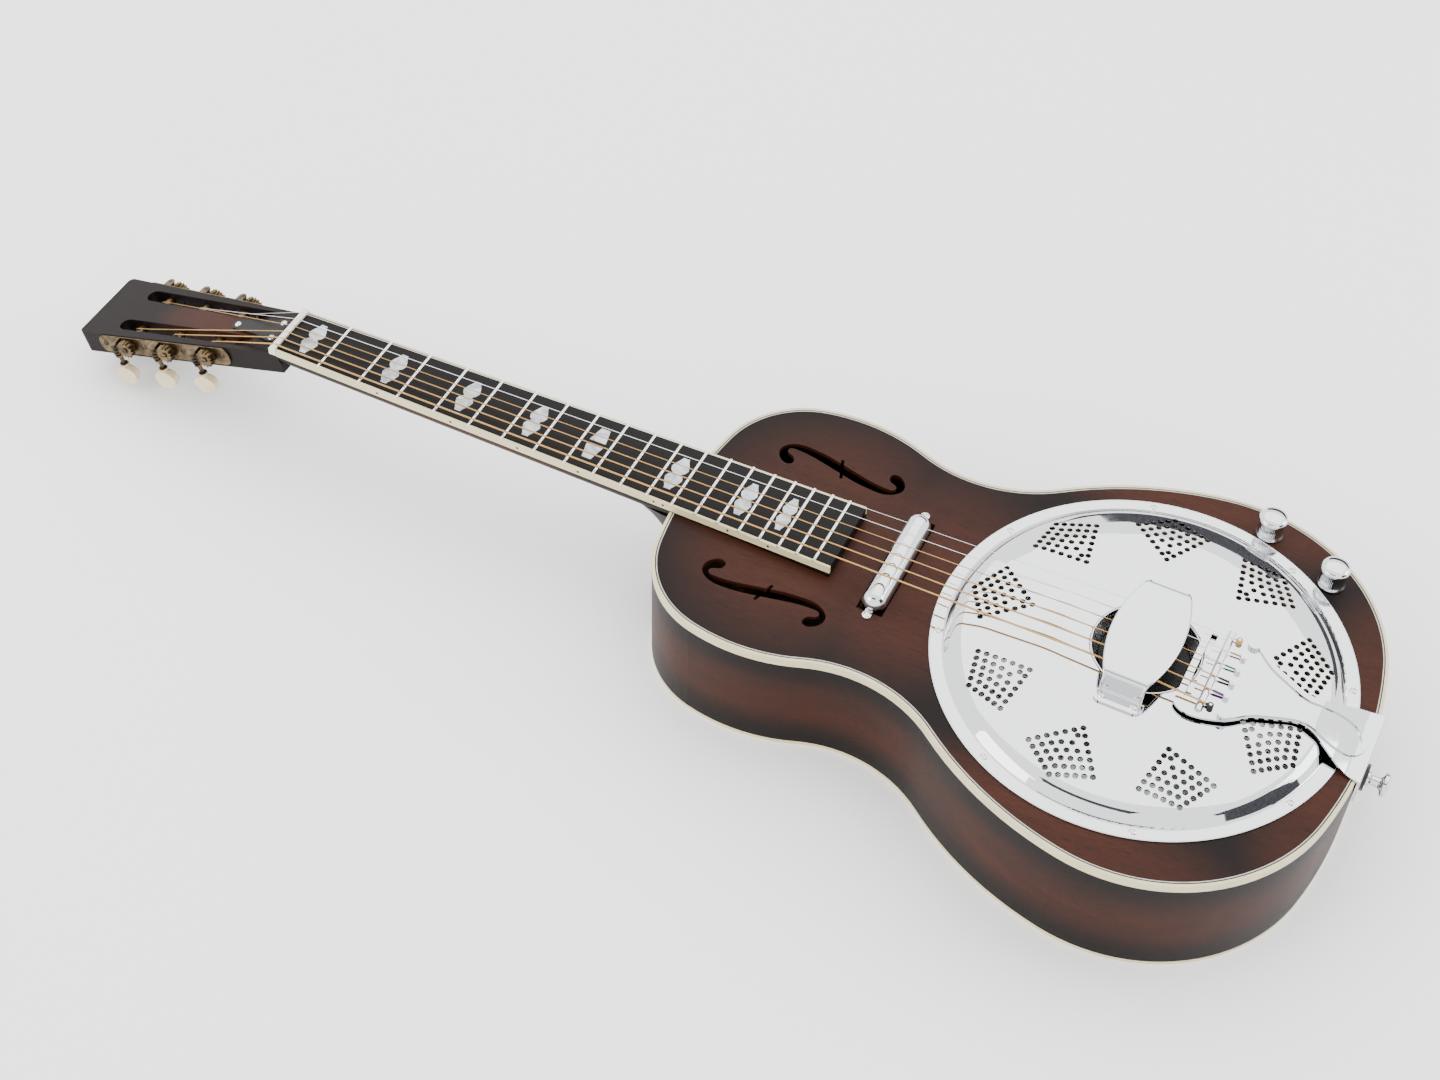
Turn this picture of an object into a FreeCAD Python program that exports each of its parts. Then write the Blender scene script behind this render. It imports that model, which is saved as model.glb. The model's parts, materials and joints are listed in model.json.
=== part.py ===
import FreeCAD, Part
import math
import os
import re

from FreeCAD import Placement, Rotation, Vector

# A wooden-bodied, single-cone resonator guitar lying on its back.
# +X runs from the headstock to the tail, +Y is the treble side, +Z is up.
# The origin is on the flat back, straight under the middle of the cone.
# All lengths are in millimetres and all angles in degrees.

doc = FreeCAD.newDocument("resonator_guitar")
sizes = doc.addObject("Spreadsheet::Sheet", "sizes")

SIZES = (
    # strings and neck
    ("scale_length", 635.0, "nut to the end of the string scale"),
    ("scale_end_ahead", 6.7, "end of the scale, ahead of the cone's middle"),
    ("saddle_setback", 2.8, "saddle behind the end of the scale, for intonation"),
    ("join_ahead", 1.9, "body starts this far ahead of the twelfth fret"),
    ("neck_tilt", 1.39, "neck rises towards the body by this angle"),
    ("nut_drop", 1.1, "fretboard face below the top, at the nut"),
    ("board_thickness", 6.0, "fretboard"),
    ("board_width_nut", 44.0, "fretboard over its binding, at the nut"),
    ("board_width_end", 59.0, "fretboard over its binding, at its end"),
    ("board_binding", 1.6, "fretboard binding"),
    ("neck_depth", 15.0, "neck under the fretboard at the nut"),
    ("neck_depth_heel", 18.0, "neck under the fretboard at the heel"),
    ("heel_length", 56.0, "heel, from its toe to the body"),
    ("heel_bottom", 14.0, "heel's end above the back"),
    ("heel_cap_thickness", 3.0, "heel cap"),
    ("tenon_width", 20.0, "neck tenon"),
    ("tenon_length", 18.0, "neck tenon into the body"),
    ("fret_crown", 1.0, "fret height"),
    ("fret_width", 2.2, "fret width"),
    ("fret_tang", 0.6, "fret tang and its saw slot"),
    ("fret_tang_depth", 1.8, "depth of the tang"),
    ("inlay_depth", 1.2, "thickness of the pearl"),
    ("side_dot_radius", 1.0, "side position mark"),
    ("nut_thickness", 5.5, "nut along the strings"),
    ("nut_height", 1.9, "nut above the fretboard face"),
    ("nut_overhang", 0.5, "nut wider than the board, each side"),
    ("string_lift_nut", 1.35, "string centres above the board face, at the nut"),
    ("string_span_nut", 36.0, "outer strings apart at the nut"),
    ("string_span_saddle", 53.0, "outer strings apart at the saddle"),
    ("string_span_tail", 57.0, "outer strings apart at the tailpiece"),
    ("string_height", 22.0, "string centres above the top, at the saddle"),
    ("truss_rod_radius", 3.0, "truss rod"),
    ("truss_rod_depth", 13.5, "rod's centre under the fretboard face"),
    # headstock and tuners
    ("head_tilt", 14.3, "headstock leans back from the neck"),
    ("head_drop", 2.9, "headstock face below the fretboard face, at the nut"),
    ("head_length", 180.0, "nut to the headstock's end, along its face"),
    ("head_thickness", 18.0, "headstock"),
    ("head_width_nut", 44.0, "headstock at the nut"),
    ("head_width_end", 65.0, "headstock at its end"),
    ("slot_start", 48.0, "string slots start this far from the nut"),
    ("slot_end", 150.0, "string slots end this far from the nut"),
    ("slot_ramp", 20.0, "sloped lead-in ahead of each slot"),
    ("slot_width", 11.5, "string slot"),
    ("slot_middle", 14.6, "slot's middle from the centre line, at its start"),
    ("slot_splay", 1.5, "slots open towards the headstock's end"),
    ("first_post", 62.0, "first string post from the nut"),
    ("post_pitch", 36.5, "string posts apart"),
    ("post_depth", 7.5, "string posts below the headstock's face"),
    ("post_radius", 3.2, "string post"),
    ("running_gap", 0.05, "radial gap of a turning shaft"),
    ("plate_thickness_tuner", 1.4, "tuner plate"),
    ("plate_height_tuner", 14.8, "tuner plate"),
    ("gear_teeth", 14.0, "teeth on the tuner gear"),
    ("gear_pitch_radius", 6.16, "tuner gear"),
    ("gear_width", 4.2, "tuner gear"),
    ("worm_pitch_radius", 2.9, "tuner worm"),
    ("tooth_height", 1.6, "tuner tooth, root to tip"),
    ("tooth_play", 0.22, "gap beside a tooth in mesh"),
    ("key_shaft_radius", 1.6, "tuner key's shaft"),
    ("key_reach", 31.0, "tuner button's middle below the headstock's face"),
    ("button_length", 15.0, "tuner button along its shaft"),
    ("button_width", 18.0, "tuner button across its shaft"),
    ("button_thickness", 7.0, "tuner button"),
    # body
    ("body_depth", 89.0, "back to top"),
    ("top_thickness", 3.2, "laminated top"),
    ("back_thickness", 3.0, "laminated back"),
    ("side_thickness", 3.0, "bent sides"),
    ("binding_width", 2.0, "binding seen from above"),
    ("top_binding_height", 6.2, "top binding on the side"),
    ("lining_width", 6.0, "kerfed lining"),
    ("lining_height", 12.0, "kerfed lining"),
    ("tail_reach", 148.9, "body's tail end from the cone's middle"),
    ("upper_bout_width", 221.1, "widest part near the neck"),
    ("upper_bout_radius", 127.6, "its arc"),
    ("upper_bout_back", 84.8, "its distance from the body's neck end"),
    ("shoulder_radius", 67.8, "arc beside the neck"),
    ("shoulder_turn", 102.9, "where the shoulder's arc starts"),
    ("waist_width", 188.7, "narrowest part"),
    ("lower_bout_width", 322.0, "widest part"),
    ("lower_bout_radius", 120.6, "its arc"),
    ("lower_bout_shift", 23.7, "its distance behind the cone's middle"),
    ("flank_radius", 237.3, "flatter arc between waist and lower bout"),
    ("flank_turn", 99.9, "where the flank's arc starts"),
    ("block_length", 58.0, "neck block"),
    ("block_width", 70.0, "neck block and tail block"),
    ("brace_height", 8.0, "back brace"),
    ("brace_width", 10.0, "back brace"),
    ("fhole_ahead", 239.0, "f-holes ahead of the cone's middle"),
    ("fhole_out", 61.0, "f-holes from the centre line"),
    # resonator
    ("cover_radius", 136.5, "cover plate"),
    ("cover_overlap", 14.0, "cover plate past the hole in the top"),
    ("well_radius", "=cover_radius - cover_overlap", "hole in the top and inside of the soundwell"),
    ("well_wall", 13.5, "soundwell"),
    ("well_outer_radius", "=well_radius + well_wall", "outside of the soundwell"),
    ("well_depth", 31.3, "cone ledge below the top"),
    ("ledge_width", 10.0, "ledge that carries the cone"),
    ("ledge_thickness", 7.0, "ledge that carries the cone"),
    ("cone_gap", 2.0, "cone inside the hole in the top"),
    ("cone_radius", "=well_radius - cone_gap", "spun cone over its lip"),
    ("cone_lip", 6.0, "flat lip of the cone"),
    ("cone_thickness", 0.8, "spun aluminium"),
    ("cone_rise", 27.0, "cone's seat above its lip"),
    ("cone_seat_radius", 24.0, "flat middle of the cone"),
    ("biscuit_radius", 30.0, "round bridge base"),
    ("biscuit_thickness", 8.0, "round bridge base"),
    ("saddle_length", 56.0, "saddle across the strings"),
    ("saddle_thickness", 3.4, "saddle along the strings"),
    ("saddle_groove", 4.0, "depth of the saddle in the biscuit"),
    ("cover_thickness", 1.2, "cover plate"),
    ("cover_rim", 8.7, "flat rim of the cover plate"),
    ("cover_rise", 14.3, "dome above the top"),
    ("cover_opening", 35.0, "opening over the biscuit"),
    ("cover_lip", 2.6, "lip turned down round the opening"),
    ("cover_hole_radius", 1.95, "hole in a sound screen"),
    ("cover_flat_width", 27.0, "flat round the opening"),
    ("cover_slope_start", 24.8, "dome turns down this far inside the rim"),
    ("cover_step_start", 7.0, "dome's steep edge, inside the rim"),
    ("screen_inset", 10.8, "outer corner of a sound screen, inside the rim"),
    ("screen_length", 39.5, "sound screen from its outer to its inner corner"),
    ("screen_setback", 13.0, "side corners of a sound screen, behind its outer corner"),
    ("screen_half_width", 22.9, "side corners of a sound screen"),
    ("cover_screw_inset", 4.7, "rim screws from the cover plate's edge"),
    ("cover_screw_circle", "=cover_radius - cover_screw_inset", "screws in the rim"),
    ("cover_screw_turn", 17.0, "first rim screw"),
    ("screw_radius", 1.4, "small screw's shank"),
    ("screw_head_radius", 2.5, "small screw's head"),
    ("screw_head_height", 1.3, "small screw's head"),
    ("screw_length", 11.0, "small screw's shank"),
    ("rest_height", 30.0, "palm rest above the top"),
    ("rest_half_length", 42.5, "palm rest's ends from the centre line"),
    ("rest_end_width", 26.0, "palm rest at its ends"),
    ("rest_middle_width", 44.0, "palm rest in its middle"),
    ("rest_ahead", 1.6, "palm rest's middle ahead of the cone's"),
    ("rest_thickness", 1.5, "palm rest"),
    ("foot_width", 32.0, "palm rest's foot"),
    ("foot_length", 9.5, "palm rest's foot"),
    ("foot_screw_pitch", 20.5, "screws in a foot"),
    # pickup and controls
    ("pickup_radius", 8.75, "pickup tube"),
    ("pickup_length", 88.0, "pickup tube over its domed ends"),
    ("pickup_lift", 2.6, "tube's axis above the top"),
    ("pickup_wall", 0.8, "pickup tube"),
    ("pickup_screw_reach", 47.6, "pickup screws from the centre line"),
    ("pickup_rout_gap", 0.3, "rout round the tube"),
    ("knob_radius", 9.6, "control knob"),
    ("knob_height", 18.5, "control knob"),
    ("knob_gap", 0.5, "knob above the top"),
    ("volume_back", 37.9, "first knob behind the cone's middle"),
    ("volume_out", 141.8, "first knob from the centre line"),
    ("tone_back", 87.4, "second knob behind the cone's middle"),
    ("tone_out", 119.2, "second knob from the centre line"),
    ("pot_radius", 8.0, "potentiometer"),
    ("pot_height", 9.0, "potentiometer"),
    ("pot_shaft_radius", 3.0, "potentiometer's shaft"),
    ("jack_radius", 3.25, "bore for the plug"),
    ("jack_bush_radius", 5.5, "jack's bush"),
    ("jack_flange_radius", 9.5, "jack's flange"),
    ("jack_flange_thickness", 2.0, "jack's flange"),
    ("jack_length", 24.0, "jack's bore"),
    ("jack_height", 44.0, "jack above the back"),
    ("jack_turn", 35.0, "jack's place round the lower bout"),
    # tailpiece
    ("tail_plate", 1.5, "tailpiece metal"),
    ("tail_front", 29.0, "tailpiece's front edge behind the cone's middle"),
    ("tail_head_width", 74.0, "tailpiece's head"),
    ("tail_waist_width", 24.0, "tailpiece's narrowest part"),
    ("tail_foot_width", 56.0, "tailpiece where it bends over the edge"),
    ("tail_hover", 1.9, "tailpiece above the cover plate's dome"),
    ("tail_leg", 46.0, "tailpiece down the tail end"),
    ("ridge_back", 45.0, "string ridge behind the cone's middle"),
    ("ball_back", 57.5, "string ends behind the cone's middle"),
    ("ball_radius", 2.0, "string's ball end"),
    ("ball_width", 2.8, "string's ball end"),
    ("strap_drop", 27.0, "strap button below the top"),
    ("strap_button_radius", 8.0, "strap button"),
    ("strap_button_length", 14.0, "strap button"),
    ("felt_radius", 9.0, "felt washer"),
    ("felt_thickness", 2.4, "felt washer"),
    ("strap_screw_radius", 2.2, "strap button's screw"),
)

ALIASES = {alias for alias, value, meaning in SIZES}
EXPRESSION_WORD = re.compile(r"[A-Za-z_]\w*")
STRING_RADII = (0.17, 0.22, 0.31, 0.42, 0.54, 0.66)
FRETS = 19
MARKED_FRETS = (1, 3, 5, 7, 12, 15, 17)
SIDE_DOT_FRETS = (3, 5, 7, 9, 12, 15, 17)
SCREENS = 9
RIM_SCREWS = 8
UP = Vector(0, 0, 1)
ALONG_X = Vector(1, 0, 0)
ALONG_Y = Vector(0, 1, 0)
FULL_TURN = 360.0
FAR = 400.0


def fill_sheet():
    for row, (alias, value, meaning) in enumerate(SIZES, start=1):
        sizes.set(f"A{row}", meaning)
        sizes.set(f"B{row}", str(value))
        sizes.setAlias(f"B{row}", alias)
    doc.recompute()


def mm(alias):
    return float(sizes.get(alias))


def bind(item, links):
    """Tie properties of a document object to the sheet."""
    for path, text in links.items():
        linked = EXPRESSION_WORD.sub(
            lambda word: "sizes." + word.group() if word.group() in ALIASES else word.group(), text
        )
        item.setExpression(path, linked)


def bind_place(item, x, y, z):
    bind(item, {"Placement.Base.x": x, "Placement.Base.y": y, "Placement.Base.z": z})


fill_sheet()

# ---------------------------------------------------------------- derived places

TOP = mm("body_depth")
NUT_X = -mm("scale_end_ahead") - mm("scale_length")
SADDLE_X = -mm("scale_end_ahead") + mm("saddle_setback")
NECK_END_X = NUT_X + mm("scale_length") / 2 - mm("join_ahead")
TAIL_END_X = mm("tail_reach")


def fret_distance(fret):
    """Nut to a fret, in equal temperament."""
    return mm("scale_length") * (1 - 2 ** (-fret / 12))


BOARD_LENGTH = fret_distance(FRETS + 1)
BOARD_END_X = NUT_X + BOARD_LENGTH
PICKUP_X = (BOARD_END_X - mm("cover_radius")) / 2

# The neck's own frame has its origin on the fretboard's face, at the nut's front.
NECK_PLACE = Placement(
    Vector(NUT_X, 0, TOP - mm("nut_drop")), Rotation(ALONG_Y, -mm("neck_tilt"))
)
# The headstock's frame: +X towards its end, +Y to the bass side, +Z out of its face.
HEAD_IN_NECK = Placement(
    Vector(0, 0, -mm("head_drop")),
    Rotation(ALONG_Y, -mm("head_tilt")).multiply(Rotation(UP, 180)),
)
HEAD_PLACE = NECK_PLACE.multiply(HEAD_IN_NECK)
HEAD_SIDE_ANGLE = math.degrees(
    math.atan((mm("head_width_end") - mm("head_width_nut")) / 2 / mm("head_length"))
)


def on_head_side(side):
    """Frame on one side face of the headstock: +X to its end, +Y outwards, +Z out of its face."""
    middle = Placement(Vector(0, side * mm("head_width_nut") / 2, 0), Rotation())
    turn = Placement(Vector(), Rotation(UP, side * HEAD_SIDE_ANGLE))
    return HEAD_PLACE.multiply(middle).multiply(turn)


# ---------------------------------------------------------------- drawing helpers

def on_circle(centre, radius, degrees):
    angle = math.radians(degrees)
    return Vector(centre.x + radius * math.cos(angle), centre.y + radius * math.sin(angle), 0)


def arc_between(centre, start, end):
    """The shorter arc about a centre from one point to another."""
    radius = (start - centre).Length
    halfway = (start - centre) + (end - centre)
    return Part.Arc(start, centre + halfway.normalize() * radius, end)


def inner_contact(outer, inner):
    """Where a circle touches a larger one from inside."""
    return outer[0] + (inner[0] - outer[0]).normalize() * outer[1]


def neighbour_arc(circle, radius, degrees):
    """A circle of another radius that touches this one at a given direction."""
    return (on_circle(circle[0], circle[1] - radius, degrees), radius)


def end_arc(circle, end_x, forward):
    """The arc centred on the centre line that ends the body at end_x."""
    centre, radius = circle
    run = forward * (end_x - centre.x)
    size = (radius ** 2 - run ** 2 - centre.y ** 2) / (2 * (radius + run))
    return (Vector(end_x + forward * size, 0, 0), size)


def waist_arc(upper, lower, half_waist):
    """The hollow arc that touches both bouts and has the waist's width."""
    reach_upper = upper[0].y + upper[1] - half_waist
    reach_lower = lower[0].y + lower[1] - half_waist

    def power(circle):
        return circle[0].x ** 2 + (half_waist - circle[0].y) ** 2 - circle[1] ** 2

    square = reach_lower - reach_upper
    linear = 2 * (reach_upper * lower[0].x - reach_lower * upper[0].x)
    constant = reach_lower * power(upper) - reach_upper * power(lower)
    root = math.sqrt(linear ** 2 - 4 * square * constant)
    answers = [(-linear + sign * root) / (2 * square) for sign in (1, -1)]
    x = min(answers, key=lambda answer: abs(answer - (upper[0].x + lower[0].x) / 2))
    run = x - upper[0].x
    drop = half_waist - upper[0].y
    radius = (run ** 2 + drop ** 2 - upper[1] ** 2) / (2 * reach_upper)
    return (Vector(x, half_waist + radius, 0), radius)


def body_circles():
    """Circles of half the outline, from the neck end round to the tail."""
    upper_y = mm("upper_bout_width") / 2 - mm("upper_bout_radius")
    upper = (Vector(NECK_END_X + mm("upper_bout_back"), upper_y, 0), mm("upper_bout_radius"))
    shoulder = neighbour_arc(upper, mm("shoulder_radius"), mm("shoulder_turn"))
    lower_y = mm("lower_bout_width") / 2 - mm("lower_bout_radius")
    lower = (Vector(mm("lower_bout_shift"), lower_y, 0), mm("lower_bout_radius"))
    flank = neighbour_arc(lower, mm("flank_radius"), mm("flank_turn"))
    waist = waist_arc(upper, flank, mm("waist_width") / 2)
    neck_end = end_arc(shoulder, NECK_END_X, 1)
    tail_end = end_arc(lower, TAIL_END_X, -1)
    return neck_end, shoulder, upper, waist, flank, lower, tail_end


def outline_arcs(inset):
    """The body's outline, drawn inwards by inset: both halves, as tangent arcs."""
    neck_end, shoulder, upper, waist, flank, lower, tail_end = body_circles()
    joins = [
        (inner_contact(neck_end, shoulder), neck_end[0], 1),
        (on_circle(upper[0], upper[1], mm("shoulder_turn")), shoulder[0], 1),
        (inner_contact(upper, (waist[0], 0)), upper[0], 1),
        (inner_contact(flank, (waist[0], 0)), waist[0], -1),
        (on_circle(lower[0], lower[1], mm("flank_turn")), flank[0], 1),
        (inner_contact(tail_end, lower), lower[0], 1),
    ]
    points = []
    for point, centre, bulge in joins:
        inwards = (centre - point).normalize() * (inset * bulge)
        points.append(point + inwards)
    arcs = [
        arc_between(centre, points[index], points[index + 1])
        for index, centre in enumerate(
            (shoulder[0], upper[0], waist[0], flank[0], lower[0])
        )
    ]
    mirrored = [Vector(point.x, -point.y, 0) for point in points]
    for index, centre in enumerate((shoulder[0], upper[0], waist[0], flank[0], lower[0])):
        opposite = Vector(centre.x, -centre.y, 0)
        arcs.append(arc_between(opposite, mirrored[index + 1], mirrored[index]))
    arcs.append(Part.Arc(points[-1], Vector(TAIL_END_X - inset, 0, 0), mirrored[-1]))
    arcs.append(Part.Arc(mirrored[0], Vector(NECK_END_X + inset, 0, 0), points[0]))
    return arcs


def outline_sketch(name, inset):
    sketch = doc.addObject("Sketcher::SketchObject", name)
    sketch.addGeometry(outline_arcs(inset), False)
    return sketch


def slab(name, sketch, bottom, height):
    """A sketch raised into a solid between two heights."""
    solid = doc.addObject("Part::Extrusion", name)
    solid.Base = sketch
    solid.DirMode = "Custom"
    solid.Dir = UP
    solid.Solid = True
    bind(solid, {"LengthFwd": height, "Placement.Base.z": bottom})
    return solid


def box(name, length, width, height, x="0", y="0", z="0"):
    solid = doc.addObject("Part::Box", name)
    bind(solid, {"Length": length, "Width": width, "Height": height})
    bind_place(solid, x, y, z)
    return solid


def cylinder(name, radius, height, x="0", y="0", z="0", along=UP):
    solid = doc.addObject("Part::Cylinder", name)
    solid.Placement = Placement(Vector(), Rotation(UP, along))
    bind(solid, {"Radius": radius, "Height": height})
    bind_place(solid, x, y, z)
    return solid


def cut(name, base, *tools):
    tool = tools[0] if len(tools) == 1 else fuse(name + "_cutters", *tools)
    solid = doc.addObject("Part::Cut", name)
    solid.Base = base
    solid.Tool = tool
    return solid


def fuse(name, *pieces):
    solid = doc.addObject("Part::MultiFuse", name)
    solid.Shapes = list(pieces)
    return solid


def common(name, *pieces):
    solid = doc.addObject("Part::MultiCommon", name)
    solid.Shapes = list(pieces)
    return solid


def group(name, *pieces):
    """Separate solids that share one node."""
    solid = doc.addObject("Part::Compound", name)
    solid.Links = list(pieces)
    return solid


def feature(name, shape, place=None):
    solid = doc.addObject("Part::Feature", name)
    solid.Shape = shape
    if place is not None:
        solid.Placement = place
    return solid


def ring_of(name, outer, inner, bottom, height):
    return cut(
        name,
        slab(name + "_outside", outer, bottom, height),
        slab(name + "_inside", inner, bottom, height),
    )


def rounded_edges(points, radii):
    """Straight runs between points, with a tangent arc of its own radius at each corner."""
    edges = []
    start = points[0]
    for before, corner, after, radius in zip(points, points[1:], points[2:], radii):
        into = (corner - before).normalize()
        out = (after - corner).normalize()
        turn = into.getAngle(out)
        if radius <= 0 or turn < 1e-6:
            edges.append(Part.makeLine(start, corner))
            start = corner
            continue
        reach = radius * math.tan(turn / 2)
        first = corner - into * reach
        last = corner + out * reach
        towards = (out - into).normalize()
        middle = corner + towards * (radius / math.cos(turn / 2) - radius)
        edges.append(Part.makeLine(start, first))
        edges.append(Part.Arc(first, middle, last).toShape())
        start = last
    edges.append(Part.makeLine(start, points[-1]))
    return edges


def offset_line(points, distance):
    """The same broken line, moved sideways in the XZ plane; + is to the left of its travel."""
    moved = []
    for index, point in enumerate(points):
        sides = []
        for start, end in ((index - 1, index), (index, index + 1)):
            if start >= 0 and end < len(points):
                way = (points[end] - points[start]).normalize()
                sides.append(Vector(-way.z, 0, way.x))
        if len(sides) == 1:
            moved.append(point + sides[0] * distance)
        else:
            bisector = (sides[0] + sides[1]).normalize()
            moved.append(point + bisector * (distance / bisector.dot(sides[0])))
    return moved


def sheet_profile(points, radii, thickness):
    """A bent sheet's section in the XZ plane, thickened to the right of its travel."""
    other = offset_line(points, -thickness)
    other_radii = []
    for before, corner, after, radius in zip(points, points[1:], points[2:], radii):
        turns_left = (corner - before).cross(after - corner).y < 0
        change = thickness if turns_left else -thickness
        other_radii.append(radius + change)
    first = rounded_edges(points, radii)
    second = rounded_edges(list(reversed(other)), list(reversed(other_radii)))
    ends = [Part.makeLine(points[-1], other[-1]), Part.makeLine(other[0], points[0])]
    return Part.Face(Part.Wire(Part.__sortEdges__(first + second + ends)))


def prism(points, direction):
    """A flat closed outline of points, pushed along a direction."""
    wire = Part.makePolygon(list(points) + [points[0]])
    return Part.Face(wire).extrude(direction)


def sketch_curve(edge):
    """An edge of the XZ plane, redrawn in a sketch on that plane."""
    first, last = edge.ParameterRange
    points = [edge.valueAt(first + (last - first) * share) for share in (0, 0.5, 1)]
    flat = [Vector(point.x, point.z, 0) for point in points]
    if isinstance(edge.Curve, Part.Line):
        return Part.LineSegment(flat[0], flat[2])
    return Part.Arc(*flat)


def turned_body(name, edges, place=None):
    """A body turned about Z from the edges of half its section."""
    body = doc.addObject("PartDesign::Body", name)
    sketch = body.newObject("Sketcher::SketchObject", name + "_section")
    plane = next(item for item in body.Origin.OriginFeatures if item.Role == "XZ_Plane")
    sketch.AttachmentSupport = (plane, [""])
    sketch.MapMode = "FlatFace"
    sketch.addGeometry([sketch_curve(edge) for edge in edges], False)
    turn = body.newObject("PartDesign::Revolution", name + "_turn")
    turn.Profile = sketch
    turn.ReferenceAxis = (sketch, ["V_Axis"])
    turn.Angle = FULL_TURN
    if place is not None:
        body.Placement = place
    return body


def turned(name, points, radii=None, place=None):
    """A solid turned about Z from the corners of half its section."""
    radii = radii or [0] * (len(points) - 2)
    edges = rounded_edges(points, radii) + [Part.makeLine(points[-1], points[0])]
    return turned_body(name, edges, place)


def section(*pairs):
    return [Vector(x, 0, z) for x, z in pairs]


# ---------------------------------------------------------------- body shell

outline = outline_sketch("outline", 0)
binding_line = outline_sketch("binding_line", mm("binding_width"))
wall_line = outline_sketch("wall_line", mm("side_thickness"))
lining_line = outline_sketch("lining_line", mm("side_thickness") + mm("lining_width"))
envelope = slab("envelope", outline, "-100", "400")


def fhole_shape(side):
    """Tall S with a lobe at each end; its halves match when turned half round."""
    half = (
        (6.3, 5.4), (16, 7.2), (25, 8.0), (32.5, 8.0), (38.3, 6.2), (42.8, 2.8), (45.0, -2.0),
        (43.8, -7.2), (40.3, -11.0), (35.8, -12.5), (32.6, -10.8), (32.4, -7.6), (34.6, -4.6),
        (38.2, -3.2), (40.0, -1.0), (39.3, 1.0), (35.0, 2.2), (28.8, 1.9), (19.8, 0.6),
        (9.9, -1.6), (2.0, -3.4),
    )
    whole = list(half) + [(-x, -y) for x, y in half]
    middle = Vector(-mm("fhole_ahead"), -side * mm("fhole_out"), TOP - 2 * mm("top_thickness"))
    points = [middle + Vector(x, side * y, 0) for x, y in whole]
    curve = Part.BSplineCurve()
    curve.interpolate(points, PeriodicFlag=True)
    depth = UP * (4 * mm("top_thickness"))
    nick = Part.makeBox(2.2, 17.0, depth.Length, middle + Vector(-1.1, -8.5, 0))
    nick.rotate(middle, UP, -side * 20)
    return Part.Face(Part.Wire(curve.toShape())).extrude(depth).fuse(nick)


fholes = group(
    "fhole_tools", feature("fhole_bass", fhole_shape(1)), feature("fhole_treble", fhole_shape(-1))
)
top_under = "body_depth - top_thickness"
well_hole = cylinder("well_hole", "well_radius", "100", "0", "0", "body_depth - 50")

pickup_rout = box(
    "pickup_rout",
    "2 * (pickup_radius + pickup_rout_gap)", "pickup_length + 2 * pickup_rout_gap", "40",
    f"{PICKUP_X} - pickup_radius - pickup_rout_gap", "-pickup_length / 2 - pickup_rout_gap",
    "body_depth - 20",
)

cover_screw_places = []
for index in range(RIM_SCREWS):
    direction = mm("cover_screw_turn") + index * FULL_TURN / RIM_SCREWS
    spot = on_circle(Vector(), mm("cover_screw_circle"), direction)
    cover_screw_places.append((spot.x, spot.y, TOP + mm("cover_thickness")))
pickup_ear = 1.2
pickup_screw_places = [
    (PICKUP_X, side * mm("pickup_screw_reach"), TOP + pickup_ear) for side in (-1, 1)
]
rest_foot_middle = mm("rest_half_length") + 7.0
rest_screw_places = [
    (-mm("rest_ahead") + step * mm("foot_screw_pitch") / 2, side * rest_foot_middle,
     TOP + mm("cover_rise") + mm("rest_thickness"))
    for side in (-1, 1) for step in (-1, 1)
]


def round_head_screw(length):
    """Small round-head screw with a cross in its head; its head sits on z = 0."""
    head = mm("screw_head_radius")
    rise = mm("screw_head_height")
    ball = (head ** 2 + rise ** 2) / (2 * rise)
    cap = Part.makeSphere(ball, Vector(0, 0, rise - ball))
    keep = Part.makeCylinder(head * 1.2, rise * 1.1)
    shank = Part.makeCylinder(mm("screw_radius"), length, Vector(0, 0, -length))
    solid = cap.common(keep).fuse(shank)
    slot = head * 0.28
    for turn in (0, 90):
        blade = Part.makeBox(head * 1.3, slot, rise, Vector(-head * 0.65, -slot / 2, rise * 0.5))
        blade.rotate(Vector(), UP, turn + 35)
        solid = solid.cut(blade)
    return solid


wood_screw = round_head_screw(mm("screw_length"))
short_screw = round_head_screw(mm("screw_length") / 2)


def drill_group(name, places, length, margin=0.02):
    """Bores for a set of screws whose heads sit at these places."""
    bores = [
        Part.makeCylinder(mm("screw_radius") + margin, length + 1, Vector(x, y, z - length))
        for x, y, z in places
    ]
    return feature(name, Part.Compound(bores))


cover_bores = drill_group("cover_bores", cover_screw_places, mm("screw_length"))
pickup_bores = drill_group("pickup_bores", pickup_screw_places, mm("screw_length"))
rest_bores = drill_group("rest_bores", rest_screw_places, mm("screw_length") / 2)

CONTROLS = (("volume", "volume_back", "volume_out"), ("tone", "tone_back", "tone_out"))
pot_bush_gap = 0.6
pot_bores = group("pot_bores", *[
    cylinder(name + "_bush_bore", f"pot_shaft_radius + {pot_bush_gap}", "30", back, out, "body_depth - 20")
    for name, back, out in CONTROLS
])

top_soundboard = cut(
    "top_soundboard", slab("top_blank", binding_line, top_under, "top_thickness"),
    well_hole, fholes, pickup_rout, cover_bores, pickup_bores, pot_bores,
)
back_panel = slab("back_panel", binding_line, "0", "back_thickness")
top_binding = ring_of(
    "top_binding", outline, binding_line, "body_depth - top_binding_height", "top_binding_height"
)
back_binding = ring_of("back_binding", outline, binding_line, "0", "back_thickness")

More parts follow.
